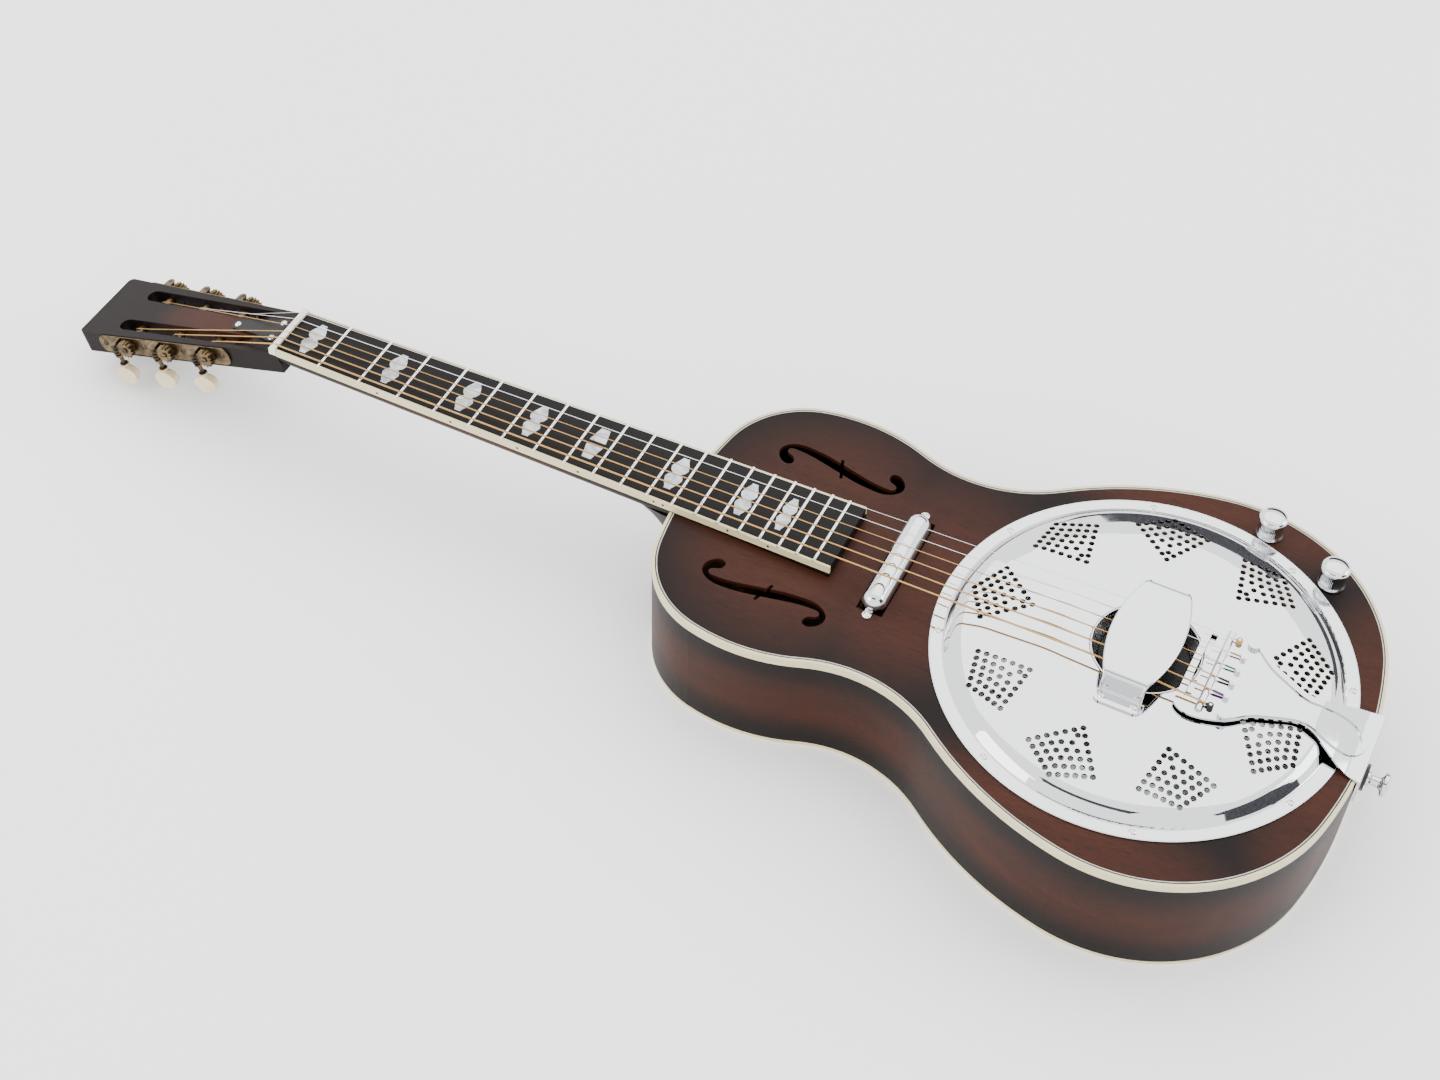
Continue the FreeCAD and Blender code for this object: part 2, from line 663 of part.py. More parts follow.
strap_height = TOP - mm("strap_drop")
strap_bore = cylinder(
    "strap_bore", "strap_screw_radius", "120", "tail_reach - 60", "0", "body_depth - strap_drop", ALONG_X
)
jack_centre, jack_outline_radius = body_circles()[5]
jack_out = Vector(math.cos(math.radians(mm("jack_turn"))), math.sin(math.radians(mm("jack_turn"))), 0)
jack_mouth = jack_centre + jack_out * jack_outline_radius
jack_mouth.z = mm("jack_height")
jack_place = Placement(jack_mouth, Rotation(UP, jack_out))
jack_bore = feature(
    "jack_side_bore", Part.makeCylinder(mm("jack_bush_radius"), 30, Vector(0, 0, -15)), jack_place
)
mortise = box(
    "mortise", "tenon_length + 10", "tenon_width", "body_depth - top_binding_height - heel_bottom - 6",
    f"{NECK_END_X} - 10", "-tenon_width / 2", "heel_bottom + 6",
)

wall_height = "body_depth - top_binding_height - back_thickness"
sides = cut(
    "sides",
    fuse(
        "side_walls",
        ring_of("side_wall", outline, wall_line, "back_thickness", wall_height),
        ring_of("side_lip", binding_line, wall_line, "body_depth - top_binding_height",
                "top_binding_height - top_thickness"),
    ),
    mortise, strap_bore, jack_bore,
)
block_zone = group(
    "block_zone",
    box("neck_block_zone", "block_length + 20", "block_width", "200",
        f"{NECK_END_X} - 20 + side_thickness", "-block_width / 2", "-50"),
    box("tail_block_zone", "60", "block_width", "200", "tail_reach - 30", "-block_width / 2", "-50"),
    feature("jack_zone", Part.makeCylinder(mm("jack_flange_radius") + 3, 80, Vector(0, 0, -40)), jack_place),
)
lining_low = ring_of("lining_low", wall_line, lining_line, "back_thickness", "lining_height")
lining_high = ring_of(
    "lining_high", wall_line, lining_line, f"{top_under} - lining_height", "lining_height"
)
linings = cut("linings", group("lining_rings", lining_low, lining_high), block_zone)

inside = slab("inside", wall_line, "back_thickness", f"{top_under} - back_thickness")
neck_block = cut(
    "neck_block",
    common("neck_block_blank", inside,
           box("neck_block_box", "block_length + 20", "block_width", "200",
               f"{NECK_END_X} - 20 + side_thickness", "-block_width / 2", "-50")),
    mortise,
)
tail_block = cut(
    "tail_block",
    common("tail_block_blank", inside,
           box("tail_block_box", "60", "block_width", "200", "tail_reach - 30", "-block_width / 2", "-50")),
    cylinder("well_clearance", "well_outer_radius", "300", "0", "0", "-50"), strap_bore,
)
lining_room = slab("lining_room", lining_line, "back_thickness", "brace_height")
back_braces = group("back_braces", *[
    common(f"back_brace_{index}", lining_room,
           box(f"brace_bar_{index}", "brace_width", "600", "brace_height", place, "-300", "back_thickness"))
    for index, place in enumerate((
        f"{NECK_END_X} + block_length + 60", "lower_bout_shift - 40", "lower_bout_shift + 60"
    ), start=1)
])

# ---------------------------------------------------------------- soundwell and cone

ledge_top = TOP - mm("well_depth")
ledge_bottom = ledge_top - mm("ledge_thickness")
well_top = TOP - mm("top_thickness")
soundwell_ring = cut(
    "soundwell_ring",
    turned("soundwell_blank", section(
        (mm("well_radius") - mm("ledge_width"), ledge_bottom),
        (mm("well_outer_radius"), ledge_bottom),
        (mm("well_outer_radius"), well_top),
        (mm("well_radius"), well_top),
        (mm("well_radius"), ledge_top),
        (mm("well_radius") - mm("ledge_width"), ledge_top),
    )),
    cover_bores,
)

cone_base = ledge_top + mm("cone_thickness")
cone_line = section(
    (mm("cone_radius"), cone_base),
    (mm("cone_radius") - mm("cone_lip"), cone_base),
    (mm("cone_seat_radius"), cone_base + mm("cone_rise")),
    (0, cone_base + mm("cone_rise")),
)


def spun_sheet(name, points, radii, thickness):
    """Spun sheet metal: a bent line of one thickness, turned about Z."""
    return turned_body(name, sheet_profile(points, radii, thickness).Edges)


resonator_cone = spun_sheet("resonator_cone", list(reversed(cone_line)), (6, 4), mm("cone_thickness"))

seat = cone_base + mm("cone_rise")
biscuit_top = seat + mm("biscuit_thickness")
saddle_rise = 0.4
saddle_box = box(
    "saddle_blank", "saddle_thickness", "saddle_length",
    f"body_depth + string_height + {saddle_rise} - {biscuit_top} + saddle_groove",
    f"{SADDLE_X} - saddle_thickness / 2", "-saddle_length / 2", f"{biscuit_top} - saddle_groove",
)
biscuit = cut(
    "biscuit",
    turned("biscuit_blank", section(
        (0, seat), (mm("biscuit_radius"), seat), (mm("biscuit_radius"), biscuit_top), (0, biscuit_top)
    ), (0, 1.2)),
    saddle_box,
)

# ---------------------------------------------------------------- cover plate

rise = mm("cover_rise")
rim_inner = mm("cover_radius") - mm("cover_rim")
slope_drop = 2.7
step_drop = 6.3
cover_line = section(
    (mm("cover_opening"), TOP + rise - mm("cover_lip")),
    (mm("cover_opening"), TOP + rise),
    (mm("cover_opening") + mm("cover_flat_width"), TOP + rise),
    (rim_inner - mm("cover_slope_start"), TOP + rise - slope_drop),
    (rim_inner - mm("cover_step_start"), TOP + rise - step_drop),
    (rim_inner, TOP + mm("cover_thickness")),
    (mm("cover_radius"), TOP + mm("cover_thickness")),
)
cover_blank = spun_sheet(
    "cover_blank", cover_line, (1.5, 160, 90, 14, 2.5), mm("cover_thickness")
)


def screen_spots():
    """Holes of one kite-shaped sound screen, on its axis and fanned out to both long sides."""
    steps = 6
    outer = rim_inner - mm("screen_inset")
    inner = outer - mm("screen_length")
    shoulder = outer - mm("screen_setback")
    spots = []
    for step in range(steps + 1):
        share = step / steps
        axis = outer + (inner - outer) * share
        side_x = shoulder + (inner - shoulder) * share
        side_y = mm("screen_half_width") * (1 - share)
        spots.append((axis, 0.0))
        row = max(steps - step - 1, 1) if step < steps else 0
        for place in range(1, row + 1):
            part = place / row
            x = axis + (side_x - axis) * part
            spots.append((x, side_y * part))
            spots.append((x, -side_y * part))
    return spots


screen_holes = []
for index in range(SCREENS):
    for x, y in screen_spots():
        hole = Part.makeCylinder(mm("cover_hole_radius"), 40, Vector(x, y, TOP - 10))
        hole.rotate(Vector(), UP, 20 + index * FULL_TURN / SCREENS)
        screen_holes.append(hole)
cover_plate = cut(
    "cover_plate", cover_blank, feature("screen_holes", Part.Compound(screen_holes)), cover_bores, rest_bores
)

# ---------------------------------------------------------------- palm rest

rest_x = -mm("rest_ahead")
rest_top = TOP + mm("rest_height")
half_end = mm("rest_end_width") / 2
half_middle = mm("rest_middle_width") / 2
half_length = mm("rest_half_length")


def rest_plan():
    front = [Vector(rest_x - half_end, -half_length, 0), Vector(rest_x - half_middle, 0, 0),
             Vector(rest_x - half_end, half_length, 0)]
    back = [Vector(rest_x + half_end, half_length, 0), Vector(rest_x + half_middle, 0, 0),
            Vector(rest_x + half_end, -half_length, 0)]
    edges = [
        Part.Arc(*front).toShape(),
        Part.makeLine(front[2], back[0]),
        Part.Arc(*back).toShape(),
        Part.makeLine(back[2], front[0]),
    ]
    return Part.Wire(edges)


def foot_plan(side):
    half = mm("foot_width") / 2
    inner = side * half_length
    outer = side * (rest_foot_middle + mm("foot_length") / 2)
    corners = [
        Vector(rest_x - half_end, inner, 0), Vector(rest_x - half_end, side * (half_length + 2.5), 0),
        Vector(rest_x - half, side * (half_length + 2.5), 0),
        Vector(rest_x - half, outer, 0), Vector(rest_x + half, outer, 0),
        Vector(rest_x + half, side * (half_length + 2.5), 0),
        Vector(rest_x + half_end, side * (half_length + 2.5), 0), Vector(rest_x + half_end, inner, 0),
    ]
    edges = rounded_edges(corners, (0, 0, 5.5, 5.5, 0, 0)) + [Part.makeLine(corners[-1], corners[0])]
    return Part.Wire(edges)


def palm_rest_shape():
    metal = mm("rest_thickness")
    foot_z = TOP + rise
    leg_out = half_length + 2.2
    side_line = [
        Vector(0, -(rest_foot_middle + mm("foot_length")), foot_z + metal),
        Vector(0, -leg_out, foot_z + metal),
        Vector(0, -half_length + 1.0, rest_top),
        Vector(0, half_length - 1.0, rest_top),
        Vector(0, leg_out, foot_z + metal),
        Vector(0, rest_foot_middle + mm("foot_length"), foot_z + metal),
    ]
    flat = [Vector(point.y, 0, point.z) for point in side_line]
    face = sheet_profile(flat, (1.6, 4.0, 4.0, 1.6), metal)
    band = face.extrude(Vector(0, 2 * FAR, 0))
    band.translate(Vector(0, -FAR, 0))
    band.rotate(Vector(), UP, 90)
    plan = Part.Face(rest_plan()).extrude(UP * FAR)
    feet = [Part.Face(foot_plan(side)).extrude(UP * FAR) for side in (-1, 1)]
    return band.common(plan.fuse(feet))


palm_rest = cut("palm_rest", feature("palm_rest_blank", palm_rest_shape()), rest_bores)

# ---------------------------------------------------------------- pickup

pickup_z = TOP + mm("pickup_lift")


def capsule(radius, length):
    reach = length / 2 - radius
    solid = Part.makeCylinder(radius, 2 * reach, Vector(0, -reach, 0), ALONG_Y)
    for side in (-1, 1):
        solid = solid.fuse(Part.makeSphere(radius, Vector(0, side * reach, 0)))
    return solid.removeSplitter()


def pickup_cover_shape():
    wall = mm("pickup_wall")
    outer = capsule(mm("pickup_radius"), mm("pickup_length"))
    outer.translate(Vector(PICKUP_X, 0, pickup_z))
    reach = mm("pickup_screw_reach")
    for side in (-1, 1):
        ear = Part.makeBox(5.0, reach - 35.0, pickup_ear)
        ear.translate(Vector(PICKUP_X - 2.5, 35.0 if side > 0 else -reach, TOP))
        eye = Part.makeCylinder(3.0, pickup_ear, Vector(PICKUP_X, side * reach, TOP))
        outer = outer.fuse(ear).fuse(eye)
    hollow = capsule(mm("pickup_radius") - wall, mm("pickup_length") - 2 * wall)
    hollow.translate(Vector(PICKUP_X, 0, pickup_z))
    return outer.cut(hollow)


pickup_cover = cut("pickup_cover", feature("pickup_shell", pickup_cover_shape()), pickup_bores)
pickup_coil = feature("pickup_coil", Part.makeBox(
    9.0, 66.0, 8.0, Vector(PICKUP_X - 4.5, -33.0, pickup_z - 4.0)
))

# ---------------------------------------------------------------- controls and jack

def knob_section():
    """Domed cap over a straight waist, with a flared foot."""
    radius = mm("knob_radius")
    tall = mm("knob_height")
    points = section(
        (0, 0), (radius, 0), (radius, 0.8), (radius - 1.0, 2.2), (radius - 1.0, tall - 6.0),
        (radius, tall - 5.0), (radius, tall - 3.2), (radius * 0.55, tall), (0, tall),
    )
    return points, (0.3, 0, 0, 0, 0.4, 3.2, 8.0)


pots = []
shaft_foot = TOP - mm("top_thickness") - mm("pot_height") + 2.0
for name, back, out in CONTROLS:
    knob_z = TOP + mm("knob_gap")
    points, radii = knob_section()
    blank = turned(f"{name}_knob_blank", points, radii, Placement(Vector(), Rotation()))
    bind_place(blank, back, out, f"{knob_z}")
    hollow = cylinder(f"{name}_knob_hollow", "knob_radius - 2.8", "4", back, out, f"{knob_z}")
    bore = cylinder(
        f"{name}_knob_bore", "pot_shaft_radius", "knob_height - 4", back, out, f"{knob_z}"
    )
    cut(f"{name}_knob", blank, hollow, bore)
    cylinder(
        f"{name}_pot_shaft", "pot_shaft_radius",
        f"{knob_z + mm('knob_height') - 4.0 - shaft_foot}", back, out, f"{shaft_foot}",
    )
    can = cylinder(f"{name}_pot_can", "pot_radius", "pot_height", back, out, f"{top_under} - pot_height")
    bush = cylinder(
        f"{name}_pot_bush", f"pot_shaft_radius + {pot_bush_gap}", "top_thickness + 2.6", back, out, top_under
    )
    hole = cylinder(
        f"{name}_pot_bore", "pot_shaft_radius + running_gap", "60", back, out, f"{shaft_foot} - 0.3"
    )
    pots.append(cut(f"{name}_pot", fuse(f"{name}_pot_blank", can, bush), hole))
potentiometers = group("potentiometers", *pots)


def jack_shape():
    """Flat flange, threaded bush and blind bore along Z; the flange meets the curved side on one line."""
    face = mm("jack_flange_thickness")
    deep = mm("jack_length")
    floor = 1.5
    flange = Part.makeCylinder(mm("jack_flange_radius"), face)
    bush = Part.makeCylinder(mm("jack_bush_radius"), deep + floor, Vector(0, 0, face - deep - floor))
    bore = Part.makeCylinder(mm("jack_radius"), deep, Vector(0, 0, face - deep))
    return flange.fuse(bush).cut(bore)


output_jack = feature("output_jack", jack_shape(), jack_place)

# ---------------------------------------------------------------- tailpiece and strap button

hover_z = TOP + rise + mm("tail_hover")
metal = mm("tail_plate")
leg_x = TAIL_END_X + 0.3
ridge_x = mm("ridge_back")
ridge_top = hover_z + metal + 1.7


def mirrored_plan(points):
    """A smooth closed outline from its +Y half, drawn front to back."""
    half = Part.BSplineCurve()
    half.interpolate([Vector(x, y, 0) for x, y in points])
    other = Part.BSplineCurve()
    other.interpolate([Vector(x, -y, 0) for x, y in points])
    first, last = points[0], points[-1]
    edges = [half.toShape(), other.toShape()]
    for x, y in (first, last):
        if y > 0:
            edges.append(Part.makeLine(Vector(x, y, 0), Vector(x, -y, 0)))
    return Part.Wire(Part.__sortEdges__(edges))


def tail_plan(shrink):
    """Half widths from the head's front edge to the bend; shrink draws the same shape smaller."""
    head = mm("tail_head_width") / 2
    waist = mm("tail_waist_width") / 2
    foot = mm("tail_foot_width") / 2
    start = mm("tail_front")
    return (
        (start + shrink, head - 3.0 - shrink), (start + 3, head - shrink), (58.0, head - 1.0 - shrink),
        (65.0, head - 4.5 - shrink), (74.0, head - 12.0 - shrink), (90.0, waist + 5.0 - shrink),
        (104.0, waist - shrink), (120.0, waist + 4.5 - shrink), (134.0, waist + 12.0 - shrink),
        (leg_x - 2.0, foot - shrink),
    )


def tail_line():
    """The bent plate's underside, from the head's front edge to the leg's tip."""
    return section(
        (mm("tail_front"), hover_z), (66.0, hover_z), (112.0, hover_z - 4.0),
        (129.0, hover_z - 11.0), (141.0, TOP + 0.6), (leg_x, TOP + 0.3), (leg_x, TOP - mm("tail_leg")),
    )


def tail_band(lift, thickness):
    """The bent plate at full width, or a layer standing on it."""
    line = offset_line(tail_line(), lift)
    radii = (60 + lift, 30 + lift, 25 - lift, 12 - lift, 0.5 + lift)
    solid = sheet_profile(line, radii, -thickness).extrude(Vector(0, 2 * FAR, 0))
    solid.translate(Vector(0, -FAR, 0))
    return solid


def leg_plan():
    """The leg seen from the tail: wide at the bend, narrowing to a round tip."""
    half = mm("tail_foot_width") / 2
    drop = mm("tail_leg")
    points = [
        Vector(0, half, TOP + 6), Vector(0, half, TOP - 2), Vector(0, 12, TOP - drop + 14),
        Vector(0, 12, TOP - drop), Vector(0, -12, TOP - drop), Vector(0, -12, TOP - drop + 14),
        Vector(0, -half, TOP - 2), Vector(0, -half, TOP + 6),
    ]
    edges = rounded_edges(points, (2, 20, 10, 10, 20, 2)) + [Part.makeLine(points[-1], points[0])]
    face = Part.Face(Part.Wire(edges))
    face.translate(ALONG_X * (leg_x - 2.5))
    return face.extrude(ALONG_X * 10)


def string_y(span, index):
    """Across the strings, treble side first."""
    return span / 2 - span * index / (len(STRING_RADII) - 1)


def tailpiece_shape():
    plan = Part.Face(mirrored_plan(tail_plan(0))).extrude(UP * FAR)
    plate = tail_band(0, metal).common(plan.fuse(leg_plan()))
    inner = Part.Face(mirrored_plan(
        [(x, y) for x, y in tail_plan(5.0)[2:7]] + [(120.0, 9.5), (137.0, 9.0), (143.0, 0.0)]
    )).extrude(UP * FAR)
    outer = Part.Face(mirrored_plan(
        [(x, y) for x, y in tail_plan(1.2)[2:7]] + [(120.0, 13.2), (138.0, 13.0), (147.0, 0.0)]
    )).extrude(UP * FAR)
    trim = Part.makeBox(FAR, FAR, FAR, Vector(60.0, -FAR / 2, 0))
    rails = tail_band(metal - 0.2, 1.4).common(outer.cut(inner)).common(trim)
    horn = Part.makeCylinder(4.2, metal + 2.6, Vector(60.5, mm("tail_head_width") / 2 - 6.5, hover_z))
    horns = horn.fuse(horn.mirror(Vector(), ALONG_Y))
    ridge = Part.makeCylinder(2.6, 2 * (mm("tail_head_width") / 2 - 2.5), Vector(
        ridge_x, -(mm("tail_head_width") / 2 - 2.5), ridge_top - 2.6
    ), ALONG_Y)
    ridge = ridge.common(Part.makeBox(20, FAR, 20, Vector(ridge_x - 10, -FAR / 2, hover_z + 0.1)))
    solid = plate.fuse([rails, horns, ridge])
    window = Part.makeBox(4.0, 2 * (mm("tail_head_width") / 2 - 9.0), 20, Vector(
        mm("tail_front") + 4.5, -(mm("tail_head_width") / 2 - 9.0), hover_z - 8
    ))
    solid = solid.cut(window)
    pegs = []
    for index in range(len(STRING_RADII)):
        y = string_y(mm("string_span_tail"), index)
        pegs.append(Part.makeCylinder(0.9, metal + 3.0, Vector(ball_x(index), y, hover_z)))
    solid = solid.fuse(pegs)
    bore = Part.makeCylinder(
        mm("strap_screw_radius") + 0.05, 20, Vector(leg_x - 5, 0, strap_height), ALONG_X
    )
    return solid.cut(bore)


def ball_x(index):
    """The outer strings end a little further forward, inside the horns."""
    return mm("ball_back") - (6.5 if index in (0, len(STRING_RADII) - 1) else 0.0)


tailpiece = feature("tailpiece", tailpiece_shape())

felt_x = leg_x + metal
strap_place = Placement(Vector(felt_x, 0, strap_height), Rotation(UP, ALONG_X))
strap_screw_bore = Part.makeCylinder(mm("strap_screw_radius"), 100, Vector(0, 0, -50))
strap_button_felt = feature("strap_button_felt", Part.makeCylinder(
    mm("felt_radius"), mm("felt_thickness")).cut(strap_screw_bore), strap_place)


def strap_button_section():
    """Flared button over its felt washer."""
    foot = mm("felt_thickness")
    tall = mm("strap_button_length")
    radius = mm("strap_button_radius")
    points = section(
        (0, foot), (radius * 0.62, foot), (radius * 0.62, foot + 1.6), (radius * 0.42, foot + 3.2),
        (radius * 0.45, foot + tall - 5.0), (radius, foot + tall - 3.4), (radius, foot + tall - 1.4),
        (radius * 0.7, foot + tall), (0, foot + tall),
    )
    return points, (0.3, 0.4, 1.0, 2.5, 0.6, 0.6, 1.0)


points, radii = strap_button_section()
head_seat = mm("felt_thickness") + mm("strap_button_length") - 2.2
strap_button = cut(
    "strap_button",
    turned("strap_button_blank", points, radii, strap_place),
    feature("strap_button_bore", strap_screw_bore, strap_place),
    feature("strap_button_recess", Part.makeCylinder(
        mm("strap_screw_radius") * 1.8, 10, Vector(0, 0, head_seat)), strap_place),
)


def strap_screw_shape():
    head_z = head_seat
    radius = mm("strap_screw_radius")
    tip = leg_x - mm("well_outer_radius") - 1.5 + metal
    solid = Part.makeCylinder(radius, head_z + tip, Vector(0, 0, -tip))
    head = Part.makeCylinder(radius * 1.7, 1.6, Vector(0, 0, head_z))
    for turn in (0, 90):
        blade = Part.makeBox(radius * 2.2, 0.9, 2, Vector(-radius * 1.1, -0.45, head_z + 0.7))
        blade.rotate(Vector(), UP, turn + 20)
        head = head.cut(blade)
    return solid.fuse(head)


strap_button_screw = feature("strap_button_screw", strap_screw_shape(), strap_place)

# ---------------------------------------------------------------- fretboard, frets and nut

board = mm("board_thickness")


def board_half(x, inset=0.0):
    """Half the fretboard's width at a distance from the nut."""
    grow = (mm("board_width_end") - mm("board_width_nut")) / 2 / BOARD_LENGTH
    return mm("board_width_nut") / 2 + grow * x - inset


def tapered(start, end, inset, bottom, height):
    """A tapered length of the fretboard's plan, inside an inset."""
    corners = [
        Vector(start, -board_half(start, inset), bottom), Vector(end, -board_half(end, inset), bottom),
        Vector(end, board_half(end, inset), bottom), Vector(start, board_half(start, inset), bottom),
    ]
    return prism(corners, UP * height)


def inlay_shape(fret):
    """Two six-sided lobes joined at a waist, lying across the board between two frets."""
    half = ((0.0, 3.0), (2.0, 5.2), (5.0, 6.4), (9.0, 5.0), (13.5, 2.6), (15.0, 2.4))
    right = [(y, x) for y, x in half]
    line = [(x, y) for y, x in right]
    ring = line + [(-x, y) for x, y in reversed(line)]
    ring += [(-x, -y) for x, y in line[1:]] + [(x, -y) for x, y in reversed(line[1:])]
    middle = (fret_distance(fret) + fret_distance(fret - 1)) / 2
    reach = min(1.0, (fret_distance(fret) - fret_distance(fret - 1) - 4.0) / 13.0)
    points = [Vector(middle + x * reach, y, -mm("inlay_depth")) for x, y in ring]
    return prism(points, UP * mm("inlay_depth"))


def split_inlay_shapes():
    """The ninth fret's pair: two wedges with a gap between them."""
    middle = (fret_distance(9) + fret_distance(8)) / 2
    shapes = []
    for side in (-1, 1):
        corners = [(side * 2.0, 6.2), (side * 14.5, 3.4), (side * 14.5, -3.4), (side * 2.0, -6.2)]
        points = [Vector(middle + x, y, -mm("inlay_depth")) for y, x in corners]
        shapes.append(prism(points, UP * mm("inlay_depth")))
    return shapes


def fret_shapes(fret):
    x = fret_distance(fret)
    wide = mm("fret_width") / 2
    crown = mm("fret_crown")
    ball = (wide ** 2 + crown ** 2) / (2 * crown)
    reach = board_half(x)
    bar = Part.makeCylinder(ball, 2 * reach, Vector(x, -reach, crown - ball), ALONG_Y)
    keep = Part.makeBox(2 * ball, 2 * reach, crown + 1, Vector(x - ball, -reach, 0))
    tang_reach = board_half(x, mm("board_binding"))
    tang = Part.makeBox(
        mm("fret_tang"), 2 * tang_reach, mm("fret_tang_depth") + 0.2,
        Vector(x - mm("fret_tang") / 2, -tang_reach, -mm("fret_tang_depth")),
    )
    return bar.common(keep).fuse(tang), tang


fret_solids = []
fret_slots = []
for fret in range(1, FRETS + 1):
    whole, slot = fret_shapes(fret)
    fret_solids.append(whole)
    fret_slots.append(slot)
inlays = [inlay_shape(fret) for fret in MARKED_FRETS] + split_inlay_shapes()


def side_dot_shapes():
    dots = []
    for fret in SIDE_DOT_FRETS:
        middle = (fret_distance(fret) + fret_distance(fret - 1)) / 2
        spread = 3.5 if fret == 12 else 0.0
        for place in {middle - spread, middle + spread}:
            start = Vector(place, -board_half(place) - 1.0, -board / 2)
            dots.append(Part.makeCylinder(mm("side_dot_radius"), 2.2, start, ALONG_Y))
    return dots


board_blank = tapered(0, BOARD_LENGTH, 0, -board, board)
board_core = tapered(0, BOARD_LENGTH, mm("board_binding"), -board, board)
dots = [dot.common(board_blank) for dot in side_dot_shapes()]
frets = feature("frets", Part.Compound(fret_solids), NECK_PLACE)
fret_inlays = feature("fret_inlays", Part.Compound(inlays), NECK_PLACE)
side_dots = feature("side_dots", Part.Compound(dots), NECK_PLACE)
fretboard = feature("fretboard", board_core.cut(fret_slots + inlays), NECK_PLACE)
fretboard_binding = feature("fretboard_binding", board_blank.cut([board_core] + dots), NECK_PLACE)

wedge_profile = tapered(0, BOARD_LENGTH, 0, -board - 30, 30)
wedge_profile.Placement = NECK_PLACE
above_top = Part.makeBox(FAR, FAR, FAR, Vector(NECK_END_X, -FAR / 2, TOP))
fretboard_wedge = common(
    "fretboard_wedge", feature("wedge_blank", wedge_profile.common(above_top)), envelope
)


def nut_shape():
    thick = mm("nut_thickness")
    wide = mm("board_width_nut") / 2 + mm("nut_overhang")
    points = [
        Vector(0, -wide, -5.0), Vector(0, -wide, mm("nut_height")),
        Vector(-thick * 0.6, -wide, mm("nut_height")), Vector(-thick, -wide, mm("nut_height") - 1.6),
        Vector(-thick, -wide, -5.0),
    ]
    return prism(points, ALONG_Y * (2 * wide))


# ---------------------------------------------------------------- strings

NUT_BACK = 0.9
wrap_gap = 0.3
STRING_AT_POST = (17.2, 15.9, 16.0)
worm_reach = mm("gear_pitch_radius") + mm("worm_pitch_radius")


def post_u(row):
    return mm("first_post") + row * mm("post_pitch")


def to_head_side(side, point):
    """A point of the side frame, given for the bass side, on either side."""
    frame = on_head_side(side)
    return frame.multVec(Vector(point.x, side * point.y, point.z))


def string_route(index):
    """Ball end, ridge, saddle, nut and post, then most of a turn round the post."""
    radius = STRING_RADII[index]
    y_tail = string_y(mm("string_span_tail"), index)
    y_saddle = string_y(mm("string_span_saddle"), index)
    y_nut = string_y(mm("string_span_nut"), index)
    side = -1 if index < 3 else 1
    row = (0, 1, 2, 2, 1, 0)[index]
    ring = Vector(ball_x(index) - mm("ball_radius") + 0.5, y_tail, ball_z)
    ridge_share = (ring.x - ridge_x) / (ring.x - SADDLE_X)
    ridge_point = Vector(ridge_x, y_tail + (y_saddle - y_tail) * ridge_share, ridge_top + radius + 0.06)
    saddle_point = Vector(SADDLE_X, y_saddle, TOP + mm("string_height"))
    nut_front = NECK_PLACE.multVec(Vector(0, y_nut, mm("string_lift_nut")))
    nut_back = NECK_PLACE.multVec(
        Vector(-mm("nut_thickness") - 0.6, y_nut, mm("string_lift_nut") - NUT_BACK)
    )
    u = post_u(row)
    half_head = mm("head_width_nut") / 2 + math.tan(math.radians(HEAD_SIDE_ANGLE)) * u
    v = (STRING_AT_POST[row] - half_head) * math.cos(math.radians(HEAD_SIDE_ANGLE))
    coil = mm("post_radius") + wrap_gap + radius
    along = u / math.cos(math.radians(HEAD_SIDE_ANGLE))
    centre = Vector(along, v, -mm("post_depth"))
    slope = math.atan2(mm("post_depth") + 3.0 - mm("post_radius"), u)
    coil_points = [
        centre + Vector(coil * math.sin(turn + slope), 0, coil * math.cos(turn + slope))
        for turn in (0.0, math.radians(125), math.radians(250))
    ]
    towards_nut = Vector(-math.cos(slope), 0, math.sin(slope))
    lead = coil_points[0] + towards_nut * 12.0
    touch, coil_middle, coil_end = [to_head_side(side, point) for point in coil_points]
    points = [ring, ridge_point, saddle_point, nut_front, nut_back, to_head_side(side, lead), touch]
    edges = rounded_edges(points, (3.0, 4.0, 5.0, 6.0, 30.0))
    edges.append(Part.Arc(touch, coil_middle, coil_end).toShape())
    return points[0], (points[1] - points[0]).normalize(), Part.Wire(edges)


ball_z = hover_z + metal + 0.05 + mm("ball_width") / 2


def string_shape(index, grow=0.0):
    start, direction, path = string_route(index)
    radius = STRING_RADII[index] + grow
    circle = Part.Wire(Part.makeCircle(radius, start, direction))
    rod = path.makePipeShell([circle], True, False)
    if grow:
        return rod
    middle = Vector(ball_x(index), string_y(mm("string_span_tail"), index), ball_z - mm("ball_width") / 2)
    ring = Part.makeCylinder(mm("ball_radius"), mm("ball_width"), middle)
    hole = Part.makeCylinder(1.0, mm("ball_width"), middle)
    twist = Part.makeCylinder(radius + 0.3, min(7.0, ball_x(index) - ridge_x - 4.0), start, direction)
    return rod.fuse([ring, twist]).cut(hole)


strings = feature("strings", Part.Compound([string_shape(index) for index in range(len(STRING_RADII))]))
string_room = [string_shape(index, 0.03) for index in range(len(STRING_RADII))]


def notches(places, height, span_x, x):
    """Slots for the strings, open at the top."""
    tools = []
    for index, (y, z) in enumerate(places):
        radius = STRING_RADII[index] + 0.03
        tools.append(Part.makeBox(span_x, 2 * radius, height, Vector(x, y - radius, z)))
    return tools


